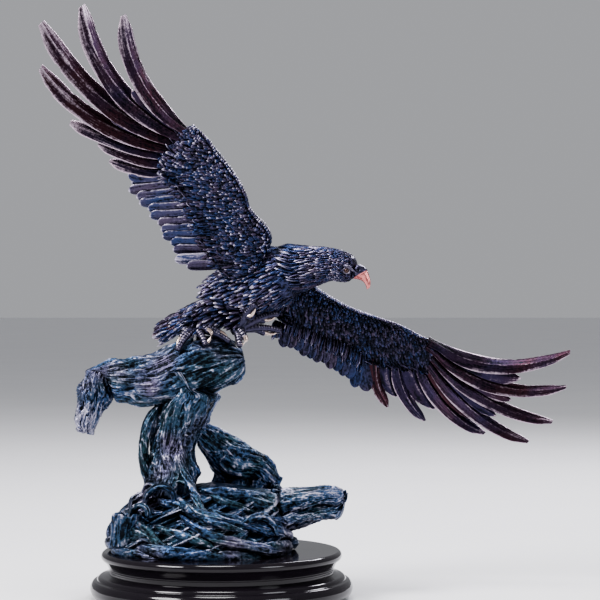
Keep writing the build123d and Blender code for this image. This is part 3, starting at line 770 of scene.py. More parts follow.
# How much each layer of grain, from coarse to fine, raises the wood and how far it is
# rubbed, and the layers' numbers of fibres round and along the limb.
GRAIN_RAISES = [0.48, 0.32, 0.2]
GRAIN_RUBS = [0.3, 0.36, 0.34]
GRAIN_LAYERS = ((1, 1), (2.1, 1.7), (4.4, 3.2))
# How far the grain wavers, in fibres, and how high the lumps are for the limb's width.
GRAIN_WAVER = 0.75
LUMP_HEIGHT = 0.17


def shut(s, share):
    """Rises in a round curve from 0 at share 0 of the length to 1 at the given share."""
    return smooth_step(s, -0.002, share) ** 0.5


def rings_of(distance, pitch, waver):
    """Rings of 0 to 1, one for each pitch of distance, moved in and out by waver."""
    return 0.5 + 0.5 * np.cos(distance / pitch * TAU + waver)


def grained(build, limb, rows, columns, seed, twist=0.6, close=(0.0, 0.0), knots=(),
            depth=1.0, lumps=1.0, ragged=0.0, tone=0.5, pale=0.0, rub=1.0):
    """Adds a wooden limb: its oval skin, pushed out to sharp crests and in to grooves by
    three layers of noise stretched along it, with rings round each knot. close gives
    the share of its length in which each end rounds off, ragged how many millimetres its
    last end is torn (or its first, if negative), rub how rubbed its crests are, and pale
    how much paler the crests of its first quarter are painted, which is a painted highlight.
    A knot is a share, an angle in degrees, a size and a height in millimetres."""
    wood = bpy.context.scene.driftwood_settings
    s, angle = grid(rows, columns)
    points, normals = limb.at(s, angle)
    turned = angle + twist * s
    girth = max(limb.broad.mean() / wood.grain_width, 1.3)
    q = stacked(np.cos(turned) * girth, np.sin(turned) * girth,
                s * limb.length() / wood.grain_length) + seed * 7.3
    q = q + GRAIN_WAVER * np.stack([noise(q * 0.6, seed + k) for k in range(3)], -1)
    layers = [crests(q * np.array([f, f, g]), seed + k)
              for k, (f, g) in enumerate(GRAIN_LAYERS)]
    relief = np.tensordot(GRAIN_RAISES, layers, 1)
    rubbed = np.tensordot(GRAIN_RUBS, layers, 1)
    swell = noise(q * np.array([0.55, 0.55, 0.9]), seed + 5) * lumps * LUMP_HEIGHT
    swell = swell * limb.broad.mean()
    for share, degrees, size, height in knots:
        centre = limb.at(np.array(share), np.radians(degrees))[0]
        gap = np.linalg.norm(points - centre, axis=-1)
        near = np.exp(-((gap / (size * MM)) ** 2))
        rings = rings_of(gap, KNOT_RING, 1.5 * noise(q, seed + 9))
        relief = relief * (1 - near) + near * (0.25 + 0.6 * rings)
        rubbed = rubbed * (1 - 0.6 * near) + near * 0.5 * rings
        swell = swell + near * height * MM
    centre = resample(limb.centres, s)
    size = (shut(s, close[0]) if close[0] else 1) * (shut(1 - s, close[1]) if close[1] else 1)
    size = size + 0 * s
    # The closed ends show broken growth rings in place of the long grain.
    sawn = smooth_step(1 - size, 0.12, 0.4)
    patches = noise(stacked(np.cos(angle) * size, np.sin(angle) * size, s) * 4, seed + 13)
    rings = rings_of(size * limb.broad.mean(), GROWTH_RING, 2.2 * patches)
    relief = relief * (1 - sawn) + sawn * (0.35 + 0.35 * rings + 0.3 * patches)
    rubbed = rubbed * (1 - sawn) + sawn * (0.15 + 0.4 * rings + 0.35 * patches)
    lift = (relief - 0.5) * wood.grain_depth * depth + swell
    points = points + normals * lift[..., None] * (1 - 0.6 * sawn)[..., None]
    points = centre + (points - centre) * size[..., None]
    points = points + limb.heading(s) * (sawn * (relief - 0.5) * 1.6 * MM)[..., None]
    if ragged:
        end = smooth_step(s, 0.9, 1) if ragged > 0 else smooth_step(1 - s, 0.9, 1)
        tear = noise(q * np.array([1.4, 1.4, 0.2]), seed + 11) * end
        points = points + limb.heading(s) * (tear * ragged * MM)[..., None]
    # pale raises the worn value in the first quarter: a painted highlight, not wear.
    worn = np.clip(rubbed, 0, 1) ** 1.5 * (1.3 * rub + pale * (1 - smooth_step(s, 0.15, 0.3)))
    worn = np.clip(worn + 0.05 * swell / MM, 0, 1)
    build.tube(points, worn, tone + 0.25 * noise(q * 0.5, seed + 8))


def mound_skin():
    """The root mound as a limb that stands upright; its angle 0 is to the right."""
    return read_limb("root_mound", UP, RIGHT, count=14, axis=UP, ends=(0.01, 0.99))


def strand(build, skin, route, radii, seed, flat=0.62, grain=0.34, tone=0.5):
    """Adds a root that lies on a skin. The route gives an angle in degrees, a share of the
    height and a stand-off in millimetres for each point; its oval is broad along the
    skin, and long fibres run down it."""
    steps = np.array(route, float)
    on, out = skin.at(steps[:, 1], np.radians(steps[:, 0]))
    path = resample(on + out * steps[:, 2:] * MM, np.linspace(0, 1, 4 * len(route)))
    outs = unit(resample(out, np.linspace(0, 1, 4 * len(route))))
    r = resample(np.array(radii, float), np.linspace(0, 1, len(path))) * MM
    limb = along(path, r, r * flat, outs)
    rows = int(np.clip(limb.length() / (1.1 * MM), 24, 110))
    grained(build, limb, rows, 26, seed, twist=0.9, depth=grain, lumps=1.6, tone=tone,
            close=(0.12, 0.2))


class OwnPiece:
    """Shared by the operators: they need nothing but the loaded frame."""

    bl_options = {"REGISTER", "UNDO"}


# The turned tiers: points down a profile, sides round it, and the width of its rims.
PROFILE_POINTS = 72
PLINTH_SIDES = 256
RIM = 0.7 * MM


class STATUETTE_OT_plinth(OwnPiece, bpy.types.Operator):
    """Turn the two lacquered tiers of the plinth"""

    bl_idname = "statuette.plinth"
    bl_label = "Plinth"

    def execute(self, context):
        for node in ("plinth_lower_tier", "plinth_upper_tier"):
            # The radius at each height is the farthest point of a level cut.
            low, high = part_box(node)
            levels = cuts(node, UP, PROFILE_POINTS, (0.004, 0.996))
            radii = np.array([np.hypot(c[:, 0], c[:, 1]).max() for c in levels])
            heights = np.array([c[:, 2].mean() for c in levels])
            heights[0], heights[-1] = low.z, high.z
            # Rings close to the rim keep the edge between the side and each face sharp.
            radii = np.concatenate([[radii[0] - 4 * RIM, radii[0] - RIM], radii,
                                    [radii[-1] - RIM, radii[-1] - 4 * RIM]])[:, None]
            heights = np.concatenate([[low.z, low.z], heights, [high.z, high.z]])[:, None]
            angle = grid(1, PLINTH_SIDES)[1]
            build = Build()
            build.tube(stacked(radii * np.cos(angle), radii * np.sin(angle), heights), 0.0)
            build.finish(f"{node}_turned", "black lacquer", "black_lacquer", [node])
        return {"FINISHED"}


class STATUETTE_OT_fixings(OwnPiece, bpy.types.Operator):
    """Give the felt, the hidden fixings and the eyes their finishes"""

    bl_idname = "statuette.fixings"
    bl_label = "Fixings"

    def execute(self, context):
        finishes = {
            "zinc plate": ["tier_screws", "mounting_bolts", "mounting_washers", "tie_rod",
                           "tie_rod_nut", "tie_rod_washer", "limb_pins", "wing_pins",
                           "foot_studs"],
            "black felt": ["felt_pad"],
            "eye bronze": ["eyes"],
        }
        for kind, nodes in finishes.items():
            for node in nodes:
                refinish(node, kind)
        return {"FINISHED"}


class STATUETTE_OT_mound(OwnPiece, bpy.types.Operator):
    """Make the root mound: its skin, a knot hole and the roots that lie on it"""

    bl_idname = "statuette.mound"
    bl_label = "Root mound"

    def execute(self, context):
        skin = mound_skin()
        build = Build()
        inner = Limb(skin.centres, skin.broad - 4 * MM, skin.slim - 4 * MM,
                     skin.broad_way, skin.slim_way)
        grained(build, inner, 110, 300, 3, twist=-1.7, close=(0, 0.16), depth=2.0, lumps=0.8,
                knots=[(0.4, -47, 9, -9), (0.75, -137, 10, -8)])
        build.finish("root_mound_casting", *WOOD, ["root_mound"])

        # Roots that start high and run down to the right all round the mound.
        build = Build()
        draw = np.random.default_rng(21)
        for i in range(40):
            first = -180 + i * 9 + draw.uniform(-5, 5)
            top = draw.uniform(0.45, 0.97)
            drop = draw.uniform(0.25, 0.5)
            sweep = draw.uniform(38, 75)
            shares = np.linspace(0, 1, 6)
            heights = np.maximum(top - drop * shares**1.2 + draw.normal(0, 0.015, 6), 0.03)
            angles = first + sweep * shares + draw.normal(0, 1.5, 6)
            outs = draw.uniform(-2.5, 1.0) + 2.2 * np.sin(shares * np.pi)
            width = draw.uniform(2.6, 5.2)
            radii = width * np.array([0.5, 0.9, 1, 0.95, 0.7, 0.28])
            strand(build, skin, np.stack([angles, heights, outs], 1), radii, 30 + i,
                   tone=draw.uniform(0.2, 0.9))
        build.finish("mound_roots", *WOOD)
        return {"FINISHED"}


class STATUETTE_OT_splinters(OwnPiece, bpy.types.Operator):
    """Make the long splinters, slabs and loops on the front of the mound"""

    bl_idname = "statuette.splinters"
    bl_label = "Splinters"

    def execute(self, context):
        skin = mound_skin()
        build = Build()
        splinters = [
            ([(-124, 0.92, 1), (-106, 0.75, 4), (-90, 0.62, 5), (-72, 0.52, 6), (-56, 0.46, 9)],
             [2, 4.6, 5.4, 4, 1]),
            ([(-106, 0.62, 3), (-90, 0.42, 5), (-73, 0.28, 6), (-50, 0.14, 7), (-33, 0.06, 10)],
             [1.6, 4.2, 4.6, 3.6, 0.8]),
            ([(-96, 0.64, 4), (-84, 0.54, 7), (-72, 0.46, 8), (-60, 0.38, 11)],
             [1.5, 3.4, 3.2, 0.8]),
            ([(-100, 0.95, 0), (-84, 0.92, 3), (-62, 0.88, 4), (-40, 0.84, 2)],
             [3, 5, 5, 3.4]),
            ([(-66, 0.36, 2), (-58, 0.52, 5), (-46, 0.56, 6), (-36, 0.44, 6), (-34, 0.26, 3)],
             [2.4, 3.6, 4, 3.8, 2.4]),
            ([(-112, 0.84, 3), (-97, 0.69, 8), (-84, 0.6, 9), (-70, 0.55, 12)],
             [1.4, 2.8, 2.6, 0.7]),
            ([(-84, 0.3, 5), (-66, 0.2, 8), (-48, 0.1, 9), (-40, 0.06, 12)],
             [1.4, 3.2, 2.8, 0.7]),
        ]
        for i, (route, radii) in enumerate(splinters):
            strand(build, skin, route, radii, 80 + i, flat=0.7, grain=0.42, tone=0.25 + 0.07 * i)
        build.finish("front_splinters", *WOOD, ["mound_splinters"])

        # Flat slabs round the foot, thin at their edges.
        build = Build()
        draw = np.random.default_rng(8)
        for i in range(15):
            first = -184 + i * 17 + draw.uniform(-5, 5) if i < 9 else -10 + (i - 9) * 30
            low = draw.uniform(0.03, 0.16)
            sweep = draw.uniform(34, 60)
            shares = np.linspace(0, 1, 6)
            route = np.stack([first + sweep * shares, low - 0.02 * shares + draw.normal(0, 0.008, 6),
                              draw.uniform(-1, 1.6) + 2.5 * np.sin(shares * np.pi)], 1)
            width = draw.uniform(4.0, 7.0)
            strand(build, skin, route, width * np.array([0.35, 0.8, 1, 1, 0.7, 0.2]), 110 + i,
                   flat=0.55, grain=0.5, tone=draw.uniform(0, 1))
        build.finish("foot_slabs", *WOOD)

        # Folded loops of bark round a dark hollow at the upper left.
        build = Build()
        for i, (angle, height, size) in enumerate(((-128, 0.8, 12), (-136, 0.6, 8), (-146, 0.9, 8),
                                                   (-118, 0.93, 8))):
            on, out = skin.at(np.array(height), np.radians(angle))
            turn = np.linspace(-0.5, 5.2, 22)[:, None]
            side = unit(np.cross(UP, out))
            high = np.cross(out, side)
            reach = size * MM * (1 + 0.12 * np.sin(2 * turn))
            path = (on + out * (1.5 + 3.5 * np.sin(turn * 0.5 + i)) * MM
                    + side * np.cos(turn) * reach * 1.15 + high * np.sin(turn) * reach)
            r = np.interp(np.linspace(0, 1, 22), [0, 0.1, 0.5, 0.9, 1], [2.4, 3.6, 4.2, 3.4, 2]) * MM
            grained(build, along(path, r * 0.75, r * 1.15, side * 0.3 + out), 90, 26, 140 + i,
                    depth=0.4, close=(0.1, 0.1), tone=0.3 + 0.15 * i)
        build.finish("bark_loops", *WOOD)
        return {"FINISHED"}


class STATUETTE_OT_bark_curl(OwnPiece, bpy.types.Operator):
    """Make the hollow curl of bark at the left of the mound"""

    bl_idname = "statuette.bark_curl"
    bl_label = "Bark curl"

    def execute(self, context):
        low, high = (np.array(v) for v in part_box("curled_bark"))
        middle, reach = (low + high) / 2, (high - low) / 2
        # Up the outside, over a torn rim and down the inside, as one closed sheet.
        outline = [(0.2, -1.0), (0.8, -0.98), (0.86, -0.6), (0.9, -0.1), (0.97, 0.45), (1.0, 0.85),
                   (0.95, 0.97), (0.84, 0.93), (0.74, 0.6), (0.64, 0.0), (0.6, -0.5), (0.4, -0.8),
                   (0.1, -0.84)]
        s, angle = grid(90, 120)
        out, up = np.moveaxis(resample(np.array(outline), s), -1, 0)
        q = stacked(np.cos(angle) * 2.4, np.sin(angle) * 2.4, up * 0.8)
        relief = 0.6 * crests(q, 4) + 0.4 * crests(q * np.array([2.6, 2.6, 1.5]), 6)
        tear = noise(q * np.array([1.1, 1.1, 0.1]), 9)
        radius = out * (1 + 0.1 * noise(q * 0.6, 2)) - (1 - relief) * 0.1
        height = up + tear * 0.3 * smooth_step(up, 0.2, 1)
        points = stacked(middle[0] + reach[0] * radius * np.cos(angle) + height * 2 * MM,
                         middle[1] + reach[1] * radius * np.sin(angle),
                         middle[2] + reach[2] * np.minimum(height, 1))
        worn = relief * smooth_step(out, 0.55, 0.85) + 0.4 * smooth_step(up, 0.7, 1)
        build = Build()
        build.tube(points, np.clip(worn, 0, 1))
        build.finish("bark_curl", *WOOD, ["curled_bark"])
        return {"FINISHED"}


# Stout roots in the fork between the back limb and the mound: path and radii in mm.
FORK_ROOTS = [
    ([(4, 20, 130), (-1, 25, 108), (-6, 26, 84)], [8, 8, 10]),
    ([(20, 26, 120), (15, 28, 102), (12, 28, 82)], [10, 10, 12]),
    ([(34, 28, 110), (33, 28, 96), (36, 26, 80)], [9, 9, 11]),
]


def free_root(path, radii):
    """A round limb through points in millimetres, with a radius at each."""
    at = np.linspace(0, 1, 12)
    centres = resample(np.array(path, float), at) * MM
    r = resample(np.array(radii, float), at) * MM
    return along(centres, r, r, FRONT)


class STATUETTE_OT_limbs(OwnPiece, bpy.types.Operator):
    """Make the trunk, the bough with its stub, and the other limbs"""

    bl_idname = "statuette.limbs"
    bl_label = "Limbs"

    def execute(self, context):
        depth_way = -FRONT
        stub = read_limb("drooping_stub", UP, depth_way, ends=(0.02, 0.88))
        bough = read_limb("bough", RIGHT, depth_way, ends=(0.09, 0.98))
        build = Build()
        # pale=2.0 paints a highlight on the start of the drooping stub.
        grained(build, extended(joined(stub, bough), 0, 1), 330, 250, seed=12, twist=1.2,
                close=(0.02, 0.06), depth=1.1, lumps=1.5, ragged=-5, pale=2.0,
                knots=[(0.93, -40, 12, 1.5), (0.75, -110, 9, -2), (0.97, 10, 10, 1),
                       (0.33, 90, 10, 2)])
        build.finish("bough_casting", *WOOD, ["bough", "drooping_stub"])
        # Where each points, its length added at each end, its rows and columns, its grain.
        limbs = {
            "trunk": (UP, (14, 16), 230, 250, dict(seed=11, twist=0.5, depth=1.25, lumps=1.2)),
            "back_limb": (RIGHT, (10, 6), 170, 180, dict(seed=14, twist=1.2, depth=1.1)),
            "side_root": (-UP, (8, 8), 130, 60, dict(seed=16, depth=0.5, twist=1.6)),
            "ribbon_root": (-UP, (8, 8), 90, 48, dict(seed=17, depth=0.5, twist=2.2)),
        }
        # The broken limb has split along its grain into an upper and a lower layer.
        whole = extended(read_limb("broken_limb", RIGHT, depth_way), 12, 0)
        build = Build()
        for seed, side, share, last in ((15, 0.4, 0.66, 1.0), (25, -0.5, 0.56, 0.93)):
            keep = np.linspace(0, last, len(whole.centres))
            layer = Limb(resample(whole.centres, keep)
                         + UP * (resample(whole.slim, keep) * side)[:, None],
                         resample(whole.broad, keep) * 0.97, resample(whole.slim, keep) * share,
                         resample(whole.broad_way, keep), resample(whole.slim_way, keep))
            grained(build, layer, 160, 160, seed=seed, close=(0.1, 0.05), twist=0.5,
                    depth=0.8, ragged=7, lumps=0.8, rub=1.35)
        build.finish("broken_limb_casting", *WOOD, ["broken_limb"])
        for node, (towards, (first, last), rows, columns, words) in limbs.items():
            axis = UP if node == "trunk" else None
            hint = RIGHT if node == "trunk" else depth_way
            limb = extended(read_limb(node, towards, hint, axis=axis), first, last)
            build = Build()
            grained(build, limb, rows, columns, **words)
            for seed, (path, radii) in enumerate(FORK_ROOTS if node == "back_limb" else []):
                grained(build, free_root(path, radii), 60, 70, seed=30 + seed, depth=0.8)
            build.finish(f"{node}_casting", *WOOD, [node])
        return {"FINISHED"}


# ---------------------------------------------------------------- plumage
def scatter(build, limb, outline, span, length, width, draw, lift=0.22, sink=1.0,
            wanted=None, rub=(0.4, 1.25)):
    """Covers a limb's skin with leaves that point back down it. Length and width are in
    millimetres at the start and the end of the span; sink puts the roots under the skin
    and wanted says for angles and shares which of them to keep."""
    s, rows = span[0], 0
    while s < span[1]:
        share = (s - span[0]) / (span[1] - span[0])
        long = np.interp(share, [0, 1], length) * MM
        wide = np.interp(share, [0, 1], width) * MM
        b, d = resample(limb.broad, s), resample(limb.slim, s)
        around = TAU * np.sqrt((b**2 + d**2) / 2)
        count = max(int(around / (wide * 0.82)), 4)
        angle = (np.arange(count) + 0.5 * (rows % 2) + draw.normal(0, 0.12, count)) / count * TAU
        places = np.clip(s + draw.normal(0, 0.12, count) * long / limb.length(), 0, 1)
        on, out = limb.at(places, angle)
        way = -limb.heading(places)
        if wanted is not None:
            keep = wanted(angle % TAU, places)
            on, out, way = on[keep], out[keep], way[keep]
        if len(on):
            lay_leaves(build, outline, on - out * sink * MM, out, way, long, wide, lift, draw,
                       rub)
        s += 0.46 * long / limb.length()
        rows += 1


def undercoat(build, limb, rows, columns, seed, size=3.2, depth=0.7, close=(0.02, 0.02)):
    """Adds the skin under small feathers: an oval tube with fine long pitting."""
    s, angle = grid(rows, columns)
    points, normals = limb.at(s, angle)
    relief = crests(points / (size * MM), seed)
    points = points + normals * ((relief - 1) * depth * MM)[..., None]
    centre = resample(limb.centres, s)
    size = (smooth_step(s, -0.002, close[0]) * smooth_step(1 - s, -0.002, close[1])) ** 0.5
    build.tube(centre + (points - centre) * size[..., None], 0.45 * relief)


# From one scale to the next along a toe.
SCALE_PITCH = 2.1 * MM
# Just off upright, so that it is square to no toe or brow.
NEARLY_UP = UP + 1e-6


def horn(build, path, radii, columns=20, rows=40, groove=0.0, worn=0.4, tone=0.5):
    """Adds a smooth tapering horn along a path, its radii in millimetres, with scales
    across its upper side, groove millimetres deep between them."""
    s, angle = grid(rows, columns)
    at = np.linspace(0, 1, 24)
    r = resample(radii, at) * MM
    limb = along(resample(path, at), r, r, NEARLY_UP)
    points, normals = limb.at(s, angle)
    scales = np.abs(np.sin(s * limb.length() / SCALE_PITCH * TAU / 2)) ** 0.5
    upper = smooth_step(np.sin(angle), -0.3, 0.5)
    lift = (scales - 1) * groove * MM * upper
    if groove:
        worn = worn + (0.4 * scales * upper - 0.3 * (1 - scales) * upper)
    build.tube(points + normals * lift[..., None], np.clip(worn, 0, 1), tone)


def spine():
    """The body and the neck as one limb that runs from the tail to the beak."""
    heading = RIGHT * 0.9 + FRONT * 0.45 + UP * 0.3
    body = read_limb("body", heading, UP, count=10, ends=(0.03, 0.86))
    neck = read_limb("neck_and_head", RIGHT * 0.9 + FRONT * 0.4, UP, count=9, ends=(0.12, 0.96))
    return body, neck, joined(body, neck)


class STATUETTE_OT_body(OwnPiece, bpy.types.Operator):
    """Make the body: its undercoat and the small round feathers"""

    bl_idname = "statuette.body"
    bl_label = "Body"

    def execute(self, context):
        body, neck, whole = spine()
        draw = np.random.default_rng(31)
        share = len(body.centres) / (len(body.centres) + len(neck.centres))
        build = Build()
        undercoat(build, whole.grown(-1.2 * MM), 120, 90, 2, close=(0.05, 0.03))
        scatter(build, whole, "lance", (0.05, share + 0.03), (11, 11), (4.8, 3.8), draw,
                lift=0.17, sink=1.2, rub=(0.8, 2.4))
        build.finish("body_plumage", *PLUMAGE, ["body"])
        return {"FINISHED"}


BROW_LINE = ((-6.5, 2.2, -0.6), (-3, 3.9, 0.6), (1, 3.7, 1.1), (5, 1.7, 0.2), (9, 0.2, -1.6))


class STATUETTE_OT_head(OwnPiece, bpy.types.Operator):
    """Make the neck and the head: hackles, brows and eyelids"""

    bl_idname = "statuette.head"
    bl_label = "Head"

    def execute(self, context):
        neck = spine()[1]
        draw = np.random.default_rng(32)
        build = Build()
        undercoat(build, neck.grown(-0.9 * MM), 90, 110, 5, size=1.6, depth=0.45,
                  close=(0.02, 0.06))
        eyes = [np.array(part.mean(0)) for part in parts_of("eyes")]

        def clear(angle, places):
            """Keeps the leaves off the eyes."""
            on = neck.at(places, angle)[0]
            return np.min([np.linalg.norm(on - e, axis=-1) for e in eyes], axis=0) > 4.6 * MM

        scatter(build, neck, "lance", (0.0, 0.5), (17, 10), (3.1, 2.3), draw, lift=0.1,
                sink=0.8, rub=(1.0, 3.0))
        scatter(build, neck, "lance", (0.5, 0.93), (7.5, 3.0), (2.4, 1.6), draw, lift=0.1,
                sink=0.5, wanted=clear, rub=(0.8, 2.4))
        build.finish("neck_plumage", *PLUMAGE, ["neck_and_head"])

        build = Build()
        forward = neck.heading(np.array(0.8))
        middle = np.mean(eyes, axis=0)
        for eye in eyes:
            out = unit(eye - middle)
            turn = np.linspace(0, TAU, 40)[:, None]
            high = unit(np.cross(forward, out))
            high = high * (1 if high @ UP > 0 else -1)
            ring = eye + out * 0.5 * MM + (np.cos(turn) * forward * 2.9
                                           + np.sin(turn) * high * 2.35) * MM
            horn(build, ring, [0.75] * 6, columns=12, rows=60, worn=0.62)
            # The brow's points from the back to the front: ahead, above and out of the eye.
            brow = [eye + forward * ahead * MM + high * above * MM + out * beside * MM
                    for ahead, above, beside in BROW_LINE]
            horn(build, brow, [0.6, 1.4, 1.7, 1.2, 0.5], columns=16, worn=0.55)
        build.finish("brows", "foot patina", "plumage_bronze")
        return {"FINISHED"}


def parts_of(node):
    """The points of each joined-up part of a CAD node."""
    points, edges = cad_points(node)
    label = np.arange(len(points))
    while True:
        lowest = np.minimum(label[edges[:, 0]], label[edges[:, 1]])
        before = label.copy()
        np.minimum.at(label, edges[:, 0], lowest)
        np.minimum.at(label, edges[:, 1], lowest)
        label = label[label]
        if (label == before).all():
            break
    return [points[label == k] for k in np.unique(label) if (label == k).sum() > 8]


class STATUETTE_OT_beak(OwnPiece, bpy.types.Operator):
    """Make the hooked beak with its cere, nostrils and gape"""

    bl_idname = "statuette.beak"
    bl_label = "Beak"

    def execute(self, context):
        forward = RIGHT * 0.9 + FRONT * 0.3
        limb = read_limb("beak", forward * 0.6 - UP, forward, count=12, ends=(0.05, 0.95))
        s, angle = grid(110, 96)
        points, normals = limb.at(s, angle)
        # The horn is slimmer than its solid past the cere.
        middle = resample(limb.centres, s)
        slim = 1 - 0.26 * smooth_step(s, 0.3, 0.7)
        points = middle + (points - middle) * slim[..., None]
        side, top = np.abs(np.sin(angle)), np.cos(angle)
        culmen = np.exp(-((top - 1) / 0.12) ** 2) * 0.5
        cere = 1 - smooth_step(s, 0.34, 0.42)
        gape = np.exp(-((top + 0.45) / 0.1) ** 2) * (1 - smooth_step(s, 0.5, 0.62)) * (top < 0)
        # The nostril is a slot high on each side of the cere.
        nostril = np.exp(-(((s - 0.2) / 0.05) ** 2 + ((top - 0.35) / 0.16) ** 2)) * side
        lift = (culmen * (1 - cere * 0.4) + 0.45 * cere - 1.1 * gape - 1.5 * nostril) * MM
        edge = np.exp(-((s - 0.4) / 0.02) ** 2) * 0.35 * MM
        points = points + normals * (lift - edge)[..., None]
        build = Build()
        build.tube(points, np.clip(0.5 + culmen - gape - nostril - 0.2 * cere, 0, 1))
        build.finish("beak_horn", "beak bronze", "beak_bronze", ["beak"])
        build = Build()
        last = int(0.38 * len(s))
        build.tube((points + normals * 0.3 * MM)[:last],
                   np.clip(0.35 + 0.3 * culmen - nostril - 0.5 * gape, 0, 1)[:last])
        build.finish("cere", "foot patina", "beak_bronze")
        return {"FINISHED"}


class STATUETTE_OT_tail(OwnPiece, bpy.types.Operator):
    """Make the tail's long feathers and the coverts at its root"""

    bl_idname = "statuette.tail"
    bl_label = "Tail"

    def execute(self, context):
        draw = np.random.default_rng(33)
        blade = extended(read_blade("tail_feathers", -RIGHT - UP * 0.6, UP), 14, 0)
        build = Build()
        count = 8
        for i in range(count):
            across = 2 * i / (count - 1) - 1
            root, bow, tip = (
                blade.at(np.array(at), np.arccos(across * spread))[0]
                - resample(blade.slim_way, np.array(at)) * across * lean * MM
                for at, spread, lean in ((0.0, 0.4, 0), (0.5, 0.75, 1.0), (0.97, 0.9, 1.5)))
            tip = tip + unit(tip - root) * draw.uniform(-14, 1.5) * MM * abs(across) ** 0.5
            quill(build, root, bow, tip, 9.5 * MM, 1.7 * MM, blade.slim_way[4],
                  draw.uniform(0, 1), 50 + i, rows=70, tilt=0.5, tipped=0.15)
        build.finish("tail_quills", *FLIGHT, ["tail_feathers"])
        build = Build()
        scatter(build, blade.turned(broad=0.8, slim=1.4), "lance", (0.3, 0.97), (15, 12),
                (5.2, 4.6), draw, lift=0.16, sink=0.8, rub=(0.6, 2.2))
        build.finish("tail_coverts", *PLUMAGE)
        return {"FINISHED"}


class STATUETTE_OT_legs(OwnPiece, bpy.types.Operator):
    """Make the feathered thighs and the scaled toes, and finish the talons"""

    bl_idname = "statuette.legs"
    bl_label = "Legs"

    def execute(self, context):
        draw = np.random.default_rng(34)
        for side in ("right", "left"):
            ankle = sole_of(side)
            upward = read_limb(f"{side}_thigh", ankle - middle_of(f"{side}_thigh"), RIGHT,
                               count=8, ends=(0.06, 0.94)).turned()
            build = Build()
            undercoat(build, upward.grown(-1.2 * MM), 50, 60, 6, close=(0.04, 0.04))
            scatter(build, upward, "lance", (0.01, 0.96), (15, 13), (4.0, 5.0), draw, lift=0.24,
                    sink=1.4, rub=(0.5, 1.8))
            build.finish(f"{side}_thigh_plumage", *PLUMAGE, [f"{side}_thigh"])

            build = Build()
            horn(build, [ankle - UP * 4 * MM, ankle, ankle + UP * 5 * MM], [4, 6.2, 4.6],
                 columns=40, groove=0.5, worn=0.3)
            for part in parts_of(f"{side}_talons"):
                gaps = np.linalg.norm(part - ankle, axis=1)
                start = part[gaps < gaps.min() + 1.6 * MM].mean(0)
                knuckle = (ankle + start) / 2 + UP * 2.4 * MM
                near = ankle + (start - ankle) * 0.16 + UP * 1.0 * MM
                far = start + (start - knuckle) * 0.12
                horn(build, [near, knuckle, (knuckle + start) / 2 + UP * 0.9 * MM, start, far],
                     [3.4, 3.7, 3.0, 2.9, 2.2], columns=30, rows=90, groove=0.6, worn=0.3,
                     tone=draw.uniform(0, 1))
            build.finish(f"{side}_toes", "foot patina", "foot_bronze",
                         [f"{side}_foot"])
            refinish(f"{side}_talons", "talon bronze")
        return {"FINISHED"}


def sole_of(side):
    """The middle of a foot's palm: above the top of the stud that holds it."""
    foot = middle_of(f"{side}_foot")
    stud = min(parts_of("foot_studs"), key=lambda part: np.linalg.norm(part.mean(0) - foot))
    return np.array([stud[:, 0].mean(), stud[:, 1].mean(), stud[:, 2].max()]) + UP * 3 * MM


# ---------------------------------------------------------------- wings
WING_WAYS = {
    "right": (-RIGHT * 0.6 + FRONT * 0.3 + UP * 0.8, RIGHT * 0.8 + UP * 0.5),
    "left": (RIGHT * 0.8 - UP * 0.5, RIGHT * 0.4 + UP),
}
PRIMARIES = 7
# How thick the secondaries, the primaries and the shorter feathers between them are.
SECONDARY_THICK, PRIMARY_THICK, FILLER_THICK = 1.5 * MM, 1.9 * MM, 1.4 * MM
# How much of a primary's length the shorter feathers fill, and how pale its tip is.
FILLED = {"right": 0.45, "left": 0.64}
TIPPED = {"right": 0.62, "left": 0.15}
# The beaded ridge along the leading edge: from one feather to the next, and for each of
# its rows the angle from the edge and how rubbed it is.
RIDGE_PITCH = 2.6 * MM
RIDGE_ROWS = ((-0.34, (0.9, 1.8)), (0.0, (1.7, 2.8)), (0.34, (0.9, 1.8)))
# How rubbed the coverts are, and how much wider than its solid each long feather is at
# shares 0, 0.2, 0.6 and 1. The left wing's coverts get a much lower rub range, which is
# painted shade that darkens the coverts of that whole wing.
COVERT_RUB_AND_SHADE = {"right": (0.3, 1.35), "left": (0.1, 0.75)}
FULLER = {"right": [1.5, 1.35, 1.12, 1.25], "left": [1.7, 1.5, 1.05, 0.8]}
# A secondary's width in steps of its row, and how rubbed it is; the left wing's far lower
# value is painted shade, darkening its secondaries.
BREADTH = {"right": 1.32, "left": 1.5}
RUBBED_AND_SHADED = {"right": 0.85, "left": 0.42}
# How far towards the wing's tip a secondary's end lies from its root, as a share.
SLANT = {"right": 0.17, "left": 0.03}


